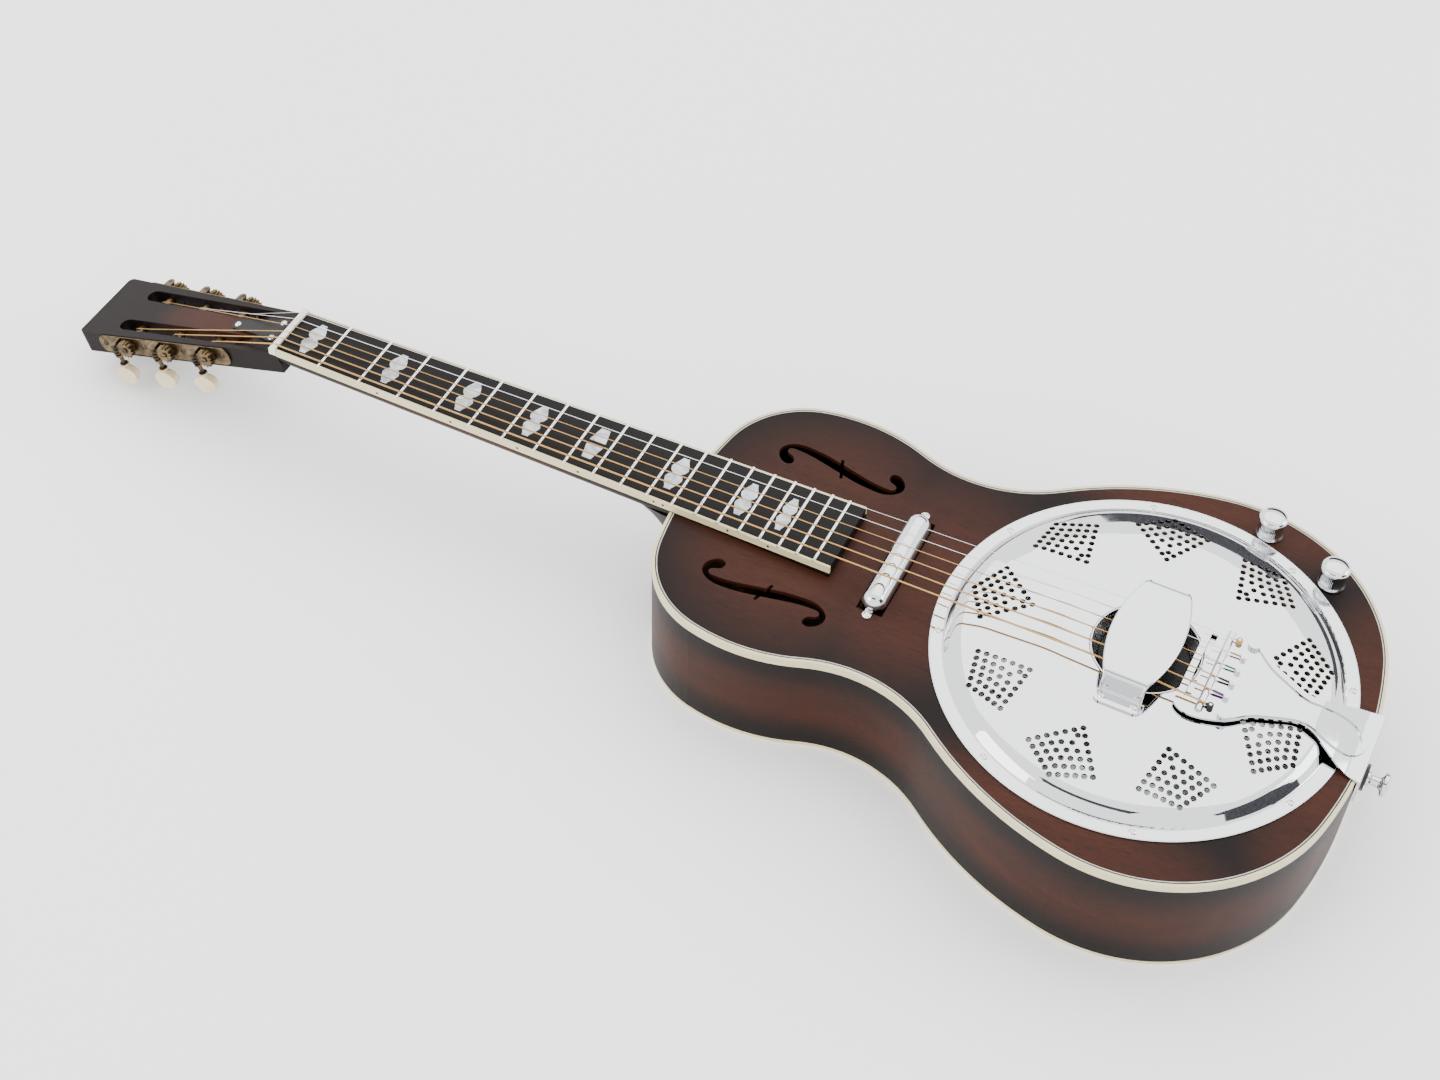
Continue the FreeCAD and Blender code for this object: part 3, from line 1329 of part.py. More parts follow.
saddle_places = [
    (string_y(mm("string_span_saddle"), index), TOP + mm("string_height"))
    for index in range(len(STRING_RADII))
]
saddle_foot = biscuit_top - mm("saddle_groove")
saddle_blank = Part.makeBox(
    mm("saddle_thickness"), mm("saddle_length"), TOP + mm("string_height") + saddle_rise - saddle_foot,
    Vector(SADDLE_X - mm("saddle_thickness") / 2, -mm("saddle_length") / 2, saddle_foot),
)
for tool in notches(saddle_places, 20, 20, SADDLE_X - 10) + string_room:
    saddle_blank = saddle_blank.cut(tool)
saddle = feature("saddle", saddle_blank)
nut_places = [
    (string_y(mm("string_span_nut"), index), mm("string_lift_nut")) for index in range(len(STRING_RADII))
]
nut_blank = nut_shape().cut(notches(nut_places, 10, 20, -10))
nut_blank.Placement = NECK_PLACE
for tool in string_room:
    nut_blank = nut_blank.cut(tool)
nut = feature("nut", nut_blank)

# ---------------------------------------------------------------- neck and headstock

join_x = (NECK_END_X - NUT_X) / math.cos(math.radians(mm("neck_tilt")))


def half_oval(x_nose, x_back, z, half_width):
    """D-shaped section lying flat: round towards the nut, square towards the body."""
    middle = Vector(x_back, 0, z)
    ellipse = Part.Ellipse(Vector(x_nose, 0, z), Vector(x_back, half_width, z), middle) \
        if (x_back - x_nose) >= half_width else Part.Ellipse(
            Vector(x_back, half_width, z), Vector(x_nose, 0, z), middle)
    points = [Vector(x_back, half_width, z), Vector(x_nose, 0, z), Vector(x_back, -half_width, z)]
    first, last = ellipse.parameter(points[0]), ellipse.parameter(points[2])
    middle_share = ellipse.parameter(points[1])
    if not min(first, last) < middle_share < max(first, last):
        first, last = max(first, last), min(first, last) + 2 * math.pi
    arc = ellipse.toShape(min(first, last), max(first, last))
    return Part.Wire([arc, Part.makeLine(arc.Vertexes[-1].Point, arc.Vertexes[0].Point)])


def neck_section(x, depth):
    """Half oval under the fretboard at a distance from the nut."""
    half = board_half(x)
    ellipse = Part.Ellipse(Vector(x, half, -board), Vector(x, 0, -board - depth), Vector(x, 0, -board))
    first = ellipse.parameter(Vector(x, half, -board))
    last = ellipse.parameter(Vector(x, -half, -board))
    middle = ellipse.parameter(Vector(x, 0, -board - depth))
    low, high = min(first, last), max(first, last)
    if not low < middle < high:
        low, high = high, low + 2 * math.pi
    arc = ellipse.toShape(low, high)
    return Part.Wire([arc, Part.makeLine(arc.Vertexes[-1].Point, arc.Vertexes[0].Point)])


def heel_shape():
    foot = -(TOP - mm("nut_drop") + join_x * math.sin(math.radians(mm("neck_tilt")))
             - mm("heel_bottom") - mm("heel_cap_thickness"))
    back = join_x + 12
    toe = join_x - mm("heel_length")
    half = board_half(join_x)
    tall = foot + board + 8.0
    levels = ((0.0, 0.0, 1.0), (0.12, 0.24, 0.9), (0.3, 0.5, 0.78), (0.6, 0.72, 0.66), (1.0, 0.8, 0.6))
    wires = [
        half_oval(toe + share * mm("heel_length"), back, -board - 8.0 + tall * down, half * wide)
        for down, share, wide in levels
    ]
    return Part.makeLoft(wires, True, False), foot


def headstock_shape():
    length = mm("head_length")
    near, far = mm("head_width_nut") / 2, mm("head_width_end") / 2
    corners = [Vector(0, -near, 0), Vector(length, -far, 0), Vector(length, far, 0), Vector(0, near, 0)]
    edges = rounded_edges(corners, (4.0, 4.0)) + [Part.makeLine(corners[-1], corners[0])]
    slab_down = UP * -mm("head_thickness")
    return Part.Face(Part.Wire(edges)).extrude(slab_down)


def slot_tool(side):
    """A round-ended string slot right through the headstock, with its sloped lead-in."""
    wide = mm("slot_width")
    start, end = mm("slot_start"), mm("slot_end")
    deep = mm("head_thickness") + 2
    body = Part.makeBox(end - start - wide, wide, deep, Vector(start + wide / 2, -wide / 2, 1 - deep))
    ends = [
        Part.makeCylinder(wide / 2, deep, Vector(x, 0, 1 - deep))
        for x in (start + wide / 2, end - wide / 2)
    ]
    ramp = prism([
        Vector(start - mm("slot_ramp"), -wide / 2, 0.01), Vector(start + wide / 2, -wide / 2, -10.0),
        Vector(start + wide / 2, -wide / 2, 0.01),
    ], ALONG_Y * wide)
    tool = body.fuse(ends + [ramp])
    tool.rotate(Vector(start, 0, 0), UP, side * mm("slot_splay"))
    tool.translate(Vector(0, side * mm("slot_middle"), 0))
    return tool


def side_post(row, radius, inner, outer):
    """A cylinder on a string post's axis in the side frame, between two distances from the side."""
    along = post_u(row) / math.cos(math.radians(HEAD_SIDE_ANGLE))
    return Part.makeCylinder(radius, outer - inner, Vector(along, inner, -mm("post_depth")), ALONG_Y)


def post_inner(row):
    return -(mm("head_width_nut") / 2 + math.tan(math.radians(HEAD_SIDE_ANGLE)) * post_u(row) - 5.5)


def on_side(shape, side):
    """A bass-side shape of the side frame, placed on either side of the headstock."""
    placed = shape.copy() if side > 0 else shape.mirror(Vector(), ALONG_Y)
    placed.Placement = on_head_side(side).multiply(placed.Placement)
    return placed


COVER_SCREWS = ((13.5, 8.2), (13.5, -8.2), (50.0, 0.0))
cover_tall = 1.6
rod_end = join_x - 12


def truss_cover_outline():
    half = ((9.0, 12.0), (16.0, 12.0), (30.0, 7.0), (54.0, 4.6), (56.0, 0.0))
    upper = [Vector(u, y, 0) for u, y in half[:-1]]
    lower = [Vector(u, -y, 0) for u, y in reversed(half[:-1])]
    points = upper + lower
    edges = rounded_edges(points, (3.0, 12.0, 4.0, 4.0, 12.0, 3.0))
    edges.append(Part.makeLine(points[-1], points[0]))
    return Part.Wire(edges)


truss_cover_blank = Part.Face(truss_cover_outline()).extrude(UP * cover_tall)
cover_screw_bores = [
    Part.makeCylinder(mm("screw_radius") + 0.02, 14.0, Vector(u, y, cover_tall - mm("screw_length") - 0.5))
    for u, y in COVER_SCREWS
]
truss_rod_cover = feature("truss_rod_cover", truss_cover_blank.cut(cover_screw_bores), HEAD_PLACE)

rod_z = -mm("truss_rod_depth")
access_end = 42.0
rod_bore = Part.makeCylinder(mm("truss_rod_radius") + 0.3, rod_end + 22.0, Vector(-20.0, 0, rod_z), ALONG_X)
access = Part.makeBox(28.0, 9.0, 14.0, Vector(-access_end, -4.5, rod_z - 4.0))


def truss_rod_shape():
    rod = Part.makeCylinder(mm("truss_rod_radius"), rod_end + 16.0, Vector(-17.0, 0, rod_z), ALONG_X)
    hexagon = [
        Vector(-25.0, 3.6 * math.cos(math.radians(60 * k)), rod_z + 3.6 * math.sin(math.radians(60 * k)))
        for k in range(6)
    ]
    return rod.fuse(prism(hexagon, ALONG_X * 10.0))


truss_rod = feature("truss_rod", truss_rod_shape(), NECK_PLACE)

PLATE_SCREW_U = (49.5, 84.8, 121.3, 157.0)


def neck_shape():
    neck = Part.makeLoft([neck_section(0, mm("neck_depth")),
                          neck_section(join_x + 12, mm("neck_depth_heel"))], True, True)
    heel, foot = heel_shape()
    heel.Placement = NECK_PLACE
    neck.Placement = NECK_PLACE
    head = headstock_shape()
    tools = [slot_tool(side) for side in (-1, 1)] + cover_screw_bores
    for side in (-1, 1):
        frame = HEAD_PLACE.inverse().multiply(on_head_side(side))
        for row in range(3):
            for radius, inner, outer in (
                (mm("post_radius") + 0.4, -9.0, 1.0), (mm("post_radius") + mm("running_gap"),
                                                       post_inner(row) - 0.3, -9.0),
            ):
                bore = side_post(row, radius, inner, outer)
                bore = bore if side > 0 else bore.mirror(Vector(), ALONG_Y)
                bore.Placement = frame.multiply(bore.Placement)
                tools.append(bore)
        for u in PLATE_SCREW_U:
            bore = Part.makeCylinder(mm("screw_radius") + 0.02, 8.5, Vector(u, -7.5, -7.2), ALONG_Y)
            bore = bore if side > 0 else bore.mirror(Vector(), ALONG_Y)
            bore.Placement = frame.multiply(bore.Placement)
            tools.append(bore)
    head = head.cut(tools)
    head.Placement = HEAD_PLACE
    seat_box = Part.makeBox(mm("nut_thickness"), 80, 20, Vector(-mm("nut_thickness"), -40, -5.0))
    seat_box = seat_box.fuse(Part.makeBox(40, 80, 20, Vector(0, -40, -board)))
    inside_tools = [seat_box, rod_bore, access]
    for tool in inside_tools:
        tool.Placement = NECK_PLACE
    tenon = Part.makeBox(
        mm("tenon_length") + 10, mm("tenon_width"),
        TOP - mm("top_binding_height") - mm("heel_bottom") - 6,
        Vector(NECK_END_X - 10, -mm("tenon_width") / 2, mm("heel_bottom") + 6),
    )
    wood = neck.fuse([heel, head])
    return wood, tenon, inside_tools


wood, tenon, neck_tools = neck_shape()
neck_blank = cut("neck_blank", feature("neck_wood", wood), envelope)
neck = cut(
    "neck", fuse("neck_with_tenon", neck_blank, feature("neck_tenon", tenon)),
    feature("neck_tools", Part.Compound(neck_tools)),
)


def heel_cap_shape():
    heel, foot = heel_shape()
    faces = [face for face in heel.Faces if abs(face.CenterOfMass.z - foot) < 0.01]
    solid = faces[0].extrude(UP * -mm("heel_cap_thickness"))
    solid.Placement = NECK_PLACE
    return solid


heel_cap = cut("heel_cap", feature("heel_cap_blank", heel_cap_shape()), envelope)

# ---------------------------------------------------------------- tuners

teeth = int(mm("gear_teeth"))
pitch = 2 * math.pi * mm("gear_pitch_radius") / teeth
half_tooth = (pitch / 2 - mm("tooth_play")) / 2
flank = math.tan(math.radians(20))
tip_rise = mm("tooth_height") / 2
root_drop = tip_rise + 0.15
lead_slope = pitch / (2 * math.pi * mm("worm_pitch_radius"))
plate_face = mm("plate_thickness_tuner")
gear_v = plate_face + mm("worm_pitch_radius") + tip_rise + 0.3
worm_turns = 3
worm_half = worm_turns * pitch / 2 + 1.05
ear_gap = 0.2


def gear_ring(v):
    """Closed tooth outline of the gear at a distance across its width, twisted to suit the worm."""
    middle = mm("gear_pitch_radius")
    twist = -lead_slope * v / middle
    points = []
    for tooth in range(teeth):
        centre = (tooth + 0.5) * 2 * math.pi / teeth + twist
        for radius, half in (
            (middle - root_drop, -(half_tooth + root_drop * flank)),
            (middle + tip_rise, -(half_tooth - tip_rise * flank)),
            (middle + tip_rise, half_tooth - tip_rise * flank),
            (middle - root_drop, half_tooth + root_drop * flank),
        ):
            angle = centre + half / radius
            points.append(Vector(radius * math.cos(angle), v, radius * math.sin(angle)))
    return Part.makePolygon(points + [points[0]])


def gear_shape(row):
    """String post with its gear and the screw that holds them together."""
    half = mm("gear_width") / 2
    gear = Part.makeLoft([gear_ring(-half), gear_ring(0), gear_ring(half)], True, True)
    along = post_u(row) / math.cos(math.radians(HEAD_SIDE_ANGLE))
    gear.translate(Vector(along, gear_v, -mm("post_depth")))
    post = side_post(row, mm("post_radius"), post_inner(row), gear_v)
    head = side_post(row, 2.3, gear_v, gear_v + half + 1.0)
    blade = Part.makeBox(6, 2, 0.7, Vector(along - 3, gear_v + half + 0.5, -mm("post_depth") - 0.35))
    return gear.fuse([post, head]).cut(blade)


def worm_middle(row):
    along = post_u(row) / math.cos(math.radians(HEAD_SIDE_ANGLE))
    return Vector(along + worm_reach, gear_v, -mm("post_depth"))


def worm_shape():
    """Thread, collar and shaft about Z, with the worm's middle at the origin."""
    core = mm("worm_pitch_radius") - root_drop
    tip = mm("worm_pitch_radius") + tip_rise
    start = -worm_turns * pitch / 2
    foot_half = half_tooth + (root_drop + 0.2) * flank
    tip_half = half_tooth - tip_rise * flank
    outline = [
        Vector(core - 0.2, 0, -foot_half), Vector(tip, 0, -tip_half), Vector(tip, 0, tip_half),
        Vector(core - 0.2, 0, foot_half),
    ]
    profiles = []
    for turn in range(0, int(worm_turns * FULL_TURN) + 1, 45):
        profile = Part.makePolygon(outline + [outline[0]])
        profile.translate(Vector(0, 0, start + pitch * turn / FULL_TURN))
        profile.rotate(Vector(), UP, turn)
        profiles.append(profile)
    thread = Part.makeLoft(profiles, True, False)
    upper = 6.9
    lower = -(mm("key_reach") - mm("post_depth")) + mm("button_length") / 2 - 4.0
    rod = Part.makeCylinder(mm("key_shaft_radius"), upper - lower, Vector(0, 0, lower))
    body = Part.makeCylinder(core, 2 * worm_half, Vector(0, 0, -worm_half))
    collar = Part.makeCone(2.2, 2.9, 2.4, Vector(0, 0, lower + 4.2))
    return thread.fuse([rod, body, collar])


def button_shape():
    """Oval grip, centred on the worm's axis below the thread."""
    middle = -(mm("key_reach") - mm("post_depth"))
    long_half, short_half = mm("button_width") / 2, mm("button_length") / 2
    thick = mm("button_thickness")
    ring = Part.Wire(Part.Ellipse(Vector(), long_half, short_half).toShape())
    puck = Part.Face(ring).extrude(UP * thick)
    puck = puck.makeFillet(thick * 0.36, puck.Edges[:1] + puck.Edges[2:])
    puck.translate(Vector(0, 0, -thick / 2))
    puck.rotate(Vector(), ALONG_X, 90)
    puck.translate(Vector(0, 0, middle))
    neck_part = Part.makeCone(2.9, 3.6, 3.0, Vector(0, 0, middle + short_half - 1.6))
    return puck.fuse(neck_part)


worm_blank = worm_shape()
button_blank = button_shape().cut(worm_blank)
for side in (1, -1):
    for row in range(3):
        number = row + 1 if side > 0 else row + 4
        feature(f"tuner_gear_{number}", on_side(gear_shape(row), side))
        for name, blank in (("tuner_shaft", worm_blank), ("tuner_button", button_blank)):
            moved = blank.copy()
            moved.translate(worm_middle(row))
            feature(f"{name}_{number}", on_side(moved, side))


def tuner_plate_shape():
    """Side plate with round ends, rolled edges, post holes and two ears for each worm."""
    start, end = 44.0, 162.5
    high = -0.6
    low = high - mm("plate_height_tuner")
    tall = high - low
    corners = [Vector(start, 0, low), Vector(end, 0, low), Vector(end, 0, high), Vector(start, 0, high)]
    middle_start = (corners[3] + corners[0]) * 0.5
    loop = [middle_start, corners[0], corners[1], corners[2], corners[3], middle_start]
    plate = Part.Face(Part.Wire(rounded_edges(loop, (5.5, 5.5, 5.5, 5.5)))).extrude(ALONG_Y * plate_face)
    pieces = []
    tools = []
    for row in range(3):
        centre = worm_middle(row)
        ear_start = worm_half + ear_gap
        for bottom in (centre.z + ear_start, centre.z - ear_start - plate_face):
            ear = Part.makeBox(6.6, centre.y + 0.2, plate_face, Vector(centre.x - 3.3, 0, bottom))
            ear_end = Part.makeCylinder(3.3, plate_face, Vector(centre.x, centre.y, bottom))
            pieces += [ear, ear_end]
        tools.append(Part.makeCylinder(
            mm("key_shaft_radius") + mm("running_gap"), 60, Vector(centre.x, centre.y, centre.z - 30)
        ))
        boss_top = gear_v - mm("gear_width") / 2 - 0.3
        pieces.append(side_post(row, mm("post_radius") + 1.6, 0, boss_top))
        tools.append(side_post(row, mm("post_radius") + mm("running_gap"), -5, 5))
    for u in PLATE_SCREW_U:
        tools.append(Part.makeCylinder(mm("screw_radius") + 0.02, 20, Vector(u, -10, -7.2), ALONG_Y))
    return plate.fuse(pieces).cut(tools)


plate_blank = tuner_plate_shape()
tuner_plates = feature("tuner_plates", Part.Compound([on_side(plate_blank, side) for side in (1, -1)]))
plate_screw = round_head_screw(7.5)
plate_screws = []
for side in (1, -1):
    for u in PLATE_SCREW_U:
        moved = plate_screw.copy()
        moved.Placement = Placement(Vector(u, plate_face, -7.2), Rotation(UP, ALONG_Y))
        plate_screws.append(on_side(moved, side))
tuner_plate_screws = feature("tuner_plate_screws", Part.Compound(plate_screws))

# ---------------------------------------------------------------- small round-head screws

all_screws = []
for blank, places in (
    (wood_screw, cover_screw_places + pickup_screw_places), (short_screw, rest_screw_places)
):
    for x, y, z in places:
        moved = blank.copy()
        moved.translate(Vector(x, y, z))
        all_screws.append(moved)
for u, y in COVER_SCREWS:
    moved = wood_screw.copy()
    moved.translate(Vector(u, y, cover_tall))
    moved.Placement = HEAD_PLACE.multiply(moved.Placement)
    all_screws.append(moved)
round_head_screws = feature("round_head_screws", Part.Compound(all_screws))


# ---------------------------------------------------------------- checks and export

NODES = (
    "top_soundboard", "back_panel", "sides", "top_binding", "back_binding", "linings", "neck_block",
    "tail_block", "soundwell_ring", "back_braces", "resonator_cone", "biscuit", "saddle", "cover_plate",
    "round_head_screws", "palm_rest", "pickup_cover", "pickup_coil", "tailpiece", "strap_button",
    "strap_button_screw", "strap_button_felt", "neck", "heel_cap", "fretboard", "fretboard_binding",
    "fretboard_wedge", "frets", "fret_inlays", "side_dots", "nut", "truss_rod", "truss_rod_cover",
    "tuner_plates", "tuner_plate_screws", "strings", "potentiometers", "output_jack", "volume_knob",
    "tone_knob", "volume_pot_shaft", "tone_pot_shaft",
) + tuple(f"{kind}_{number}" for number in range(1, 7) for kind in (
    "tuner_shaft", "tuner_button", "tuner_gear"
))

doc.recompute()
for item in doc.Objects:
    if "Invalid" in item.State or "Error" in item.State:
        raise RuntimeError(f"{item.Name} did not compute: {item.State}")

os.makedirs("parts", exist_ok=True)
for node in NODES:
    item = doc.getObject(node)
    item.Label = node
    if item.Shape.isNull() or not item.Shape.isValid():
        raise RuntimeError(f"{node} has no valid shape")
    item.Shape.exportStep(f"parts/{item.Label}.step")
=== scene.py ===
# %% [markdown]
# A wooden resonator guitar lying on its back on a pale studio floor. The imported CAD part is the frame.
# This first cell loads it. Everything below is in metres, +X towards the tail, +Y the treble side, +Z up.

import json
import math

import bmesh
import bpy
from mathutils import Matrix, Vector


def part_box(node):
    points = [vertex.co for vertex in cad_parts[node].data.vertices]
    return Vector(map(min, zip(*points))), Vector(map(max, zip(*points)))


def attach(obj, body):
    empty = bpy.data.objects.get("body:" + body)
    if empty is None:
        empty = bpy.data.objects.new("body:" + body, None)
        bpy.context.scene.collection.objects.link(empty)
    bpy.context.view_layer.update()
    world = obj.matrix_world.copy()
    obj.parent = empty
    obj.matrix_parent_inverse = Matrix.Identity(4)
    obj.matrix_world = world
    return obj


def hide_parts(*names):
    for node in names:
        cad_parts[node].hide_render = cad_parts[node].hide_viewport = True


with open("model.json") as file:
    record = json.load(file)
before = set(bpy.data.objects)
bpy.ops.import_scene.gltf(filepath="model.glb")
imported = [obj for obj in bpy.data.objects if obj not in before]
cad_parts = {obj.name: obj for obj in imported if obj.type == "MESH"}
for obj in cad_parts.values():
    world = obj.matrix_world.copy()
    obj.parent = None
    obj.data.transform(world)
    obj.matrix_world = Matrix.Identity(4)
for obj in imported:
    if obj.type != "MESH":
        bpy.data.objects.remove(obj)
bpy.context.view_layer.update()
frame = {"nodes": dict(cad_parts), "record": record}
NODES = frame["nodes"]

# %% [markdown]
# Materials are built from small node recipes. All textures read object coordinates, which are the guitar's
# own coordinates because every piece sits at the origin.

# %% Node recipes
class Recipe:
    """One material under construction, with short calls for the nodes that are used again and again."""

    def __init__(self, name, color=(0.5, 0.5, 0.5), rough=0.5, metal=0.0, coat=0.0, coat_rough=0.1):
        self.material = bpy.data.materials.new(name)
        self.material.use_nodes = True
        self.tree = self.material.node_tree
        self.surface = self.tree.nodes["Principled BSDF"]
        self.place = self.add("ShaderNodeTexCoord").outputs["Object"]
        self.set("Base Color", (*color, 1.0))
        self.set("Roughness", rough)
        self.set("Metallic", metal)
        self.set("Coat Weight", coat)
        self.set("Coat Roughness", coat_rough)

    def add(self, kind, **settings):
        node = self.tree.nodes.new(kind)
        for name, value in settings.items():
            setattr(node, name, value)
        return node

    def feed(self, socket, value):
        if isinstance(value, bpy.types.NodeSocket):
            self.tree.links.new(value, socket)
        else:
            socket.default_value = value

    def set(self, name, value):
        self.feed(self.surface.inputs[name], value)

    def stretch(self, x, y, z, turn=(0.0, 0.0, 0.0)):
        node = self.add("ShaderNodeMapping")
        self.feed(node.inputs["Vector"], self.place)
        node.inputs["Scale"].default_value = (x, y, z)
        node.inputs["Rotation"].default_value = turn
        return node.outputs["Vector"]

    def noise(self, where, scale=1.0, detail=4.0, rough=0.5, distort=0.0):
        node = self.add("ShaderNodeTexNoise")
        self.feed(node.inputs["Vector"], where)
        node.inputs["Scale"].default_value = scale
        node.inputs["Detail"].default_value = detail
        node.inputs["Roughness"].default_value = rough
        node.inputs["Distortion"].default_value = distort
        return node.outputs["Fac"]

    def cells(self, where, scale=1.0, feature="F1"):
        node = self.add("ShaderNodeTexVoronoi", feature=feature)
        self.feed(node.inputs["Vector"], where)
        node.inputs["Scale"].default_value = scale
        return node.outputs["Distance"]

    def math(self, kind, first, second=0.0, third=0.0, clamp=False):
        node = self.add("ShaderNodeMath", operation=kind, use_clamp=clamp)
        for socket, value in zip(node.inputs, (first, second, third)):
            self.feed(socket, value)
        return node.outputs[0]

    def level(self, value, low, high, to_low=0.0, to_high=1.0, smooth=True):
        node = self.add("ShaderNodeMapRange", interpolation_type="SMOOTHSTEP" if smooth else "LINEAR")
        for name, number in (("Value", value), ("From Min", low), ("From Max", high),
                             ("To Min", to_low), ("To Max", to_high)):
            self.feed(node.inputs[name], number)
        return node.outputs["Result"]

    def mix(self, share, first, second, kind="MIX"):
        node = self.add("ShaderNodeMix", data_type="RGBA", blend_type=kind)
        self.feed(node.inputs["Factor"], share)
        for socket, value in ((node.inputs[6], first), (node.inputs[7], second)):
            self.feed(socket, value if isinstance(value, bpy.types.NodeSocket) else (*value, 1.0))
        return node.outputs[2]

    def axes(self):
        node = self.add("ShaderNodeSeparateXYZ")
        self.feed(node.inputs[0], self.place)
        return node.outputs

    def bump(self, height, distance, strength=1.0):
        node = self.add("ShaderNodeBump")
        node.inputs["Distance"].default_value = distance
        node.inputs["Strength"].default_value = strength
        self.feed(node.inputs["Height"], height)
        self.set("Normal", node.outputs["Normal"])


print("recipes ready")

# %% [markdown]
# The body's wood is a dark brown sunburst over mahogany: almost black along the edges, with a red-brown glow
# in the middle of each bout and half way up the sides. Fine pores run along the grain.

# %% Sunburst wood
def wood_pores(recipe, grain=(140.0, 2600.0, 2600.0)):
    """Short dark pores and slow ribbons, both drawn out along the grain."""
    along = recipe.stretch(*grain)
    pores = recipe.level(recipe.noise(along, 1.0, 3.0, 0.6), 0.52, 0.66)
    ribbons = recipe.noise(recipe.stretch(4.0, 45.0, 45.0), 1.0, 5.0, 0.6, 0.6)
    return pores, ribbons


def glow_spot(recipe, axes, x, y, wide_x, wide_y):
    """1 in the middle of a soft elliptical patch, 0 outside it."""
    run = recipe.math("DIVIDE", recipe.math("SUBTRACT", axes[0], x), wide_x)
    side = recipe.math("DIVIDE", recipe.math("SUBTRACT", axes[1], y), wide_y)
    reach = recipe.math("ADD", recipe.math("MULTIPLY", run, run), recipe.math("MULTIPLY", side, side))
    return recipe.level(reach, 1.0, 0.0)


def sunburst(name, spots, sides=False):
    recipe = Recipe(name, rough=0.48, coat=0.03, coat_rough=0.25)
    recipe.set("Specular IOR Level", 0.10)
    axes = recipe.axes()
    pores, ribbons = wood_pores(recipe)
    glow = 0.0
    for spot in spots:
        glow = recipe.math("MAXIMUM", glow, glow_spot(recipe, axes, *spot))
    if sides:
        lift = recipe.math("ABSOLUTE", recipe.math("SUBTRACT", axes[2], 0.044))
        uneven = recipe.level(ribbons, 0.2, 0.8, 0.75, 1.0)
        glow = recipe.math("MULTIPLY", recipe.level(lift, 0.036, 0.006), uneven)
    glow = recipe.math("MULTIPLY", glow, recipe.level(ribbons, 0.25, 0.75, 0.7, 1.0))
    brown = recipe.mix(glow, (0.0045, 0.0021, 0.0018), (0.040, 0.0100, 0.0042))
    brown = recipe.mix(recipe.math("MULTIPLY", pores, 0.55), brown, (0.008, 0.005, 0.004))
    recipe.set("Base Color", brown)
    recipe.set("Roughness", recipe.level(pores, 0.0, 1.0, 0.42, 0.6))
    recipe.bump(recipe.math("MULTIPLY", pores, -1.0), 0.00006, 0.5)
    return recipe.material


TOP_SPOTS = (
    (-0.235, 0.0, 0.105, 0.125), (-0.02, 0.150, 0.17, 0.050), (-0.02, -0.150, 0.17, 0.050),
    (0.13, 0.0, 0.05, 0.16), (-0.15, 0.0, 0.09, 0.11),
)
top_wood = sunburst("sunburst_top", TOP_SPOTS)
side_wood = sunburst("sunburst_sides", (), sides=True)
back_wood = sunburst("sunburst_back", ((-0.23, 0.0, 0.09, 0.10), (0.0, 0.0, 0.14, 0.15)))
neck_wood = sunburst("neck_lacquer", ((-0.48, 0.0, 0.16, 0.05), (-0.71, 0.0, 0.06, 0.024)))
print("sunburst woods ready")

# %% [markdown]
# The fretboard is an oiled near-black wood with open pores. The inner wood and the black stained bridge
# pieces use the same pores in other colours.

# %% Other woods
def plain_wood(name, dark, light, rough, pore_color, coat=0.0):
    recipe = Recipe(name, rough=rough, coat=coat)
    recipe.set("Specular IOR Level", 0.14)
    pores, ribbons = wood_pores(recipe, (90.0, 1900.0, 1900.0))
    tone = recipe.mix(recipe.level(ribbons, 0.25, 0.75), dark, light)
    recipe.set("Base Color", recipe.mix(recipe.math("MULTIPLY", pores, 0.7), tone, pore_color))
    recipe.set("Roughness", recipe.level(ribbons, 0.2, 0.8, rough - 0.06, rough + 0.08))
    recipe.bump(recipe.math("MULTIPLY", pores, -1.0), 0.00005, 0.5)
    return recipe.material


board_wood = plain_wood("near_black_rosewood", (0.0022, 0.0019, 0.0019), (0.0055, 0.0040, 0.0036), 0.50,
                        (0.0015, 0.0012, 0.0012))
inner_wood = plain_wood("bare_spruce", (0.20, 0.12, 0.06), (0.30, 0.19, 0.10), 0.7, (0.14, 0.08, 0.04))
black_wood = plain_wood("black_maple", (0.006, 0.006, 0.006), (0.014, 0.013, 0.013), 0.40,
                        (0.003, 0.003, 0.003), 0.05)
print("other woods ready")

# %% [markdown]
# Chrome is a near mirror. A little slow waviness and faint wiping marks keep it from looking computed.

# %% Metals
def polished(name, color, rough, wave, marks):
    recipe = Recipe(name, color=color, rough=rough, metal=1.0)
    wiping = recipe.noise(recipe.stretch(60.0, 90.0, 60.0, (0.0, 0.0, 0.6)), 1.0, 6.0, 0.65, 0.8)
    specks = recipe.cells(recipe.stretch(420.0, 420.0, 420.0))
    recipe.set("Roughness", recipe.level(wiping, 0.3, 0.8, rough, rough + marks))
    tint = recipe.level(specks, 0.02, 0.09, 0.9, 1.0)
    recipe.set("Base Color", recipe.mix(tint, tuple(c * 0.75 for c in color), color))
    recipe.bump(recipe.noise(recipe.stretch(22.0, 22.0, 22.0), 1.0, 2.0, 0.4), wave, 0.6)
    return recipe.material


chrome = polished("mirror_chrome", (0.60, 0.61, 0.63), 0.02, 0.00012, 0.04)
nickel = polished("nickel_steel", (0.74, 0.72, 0.69), 0.16, 0.00004, 0.10)


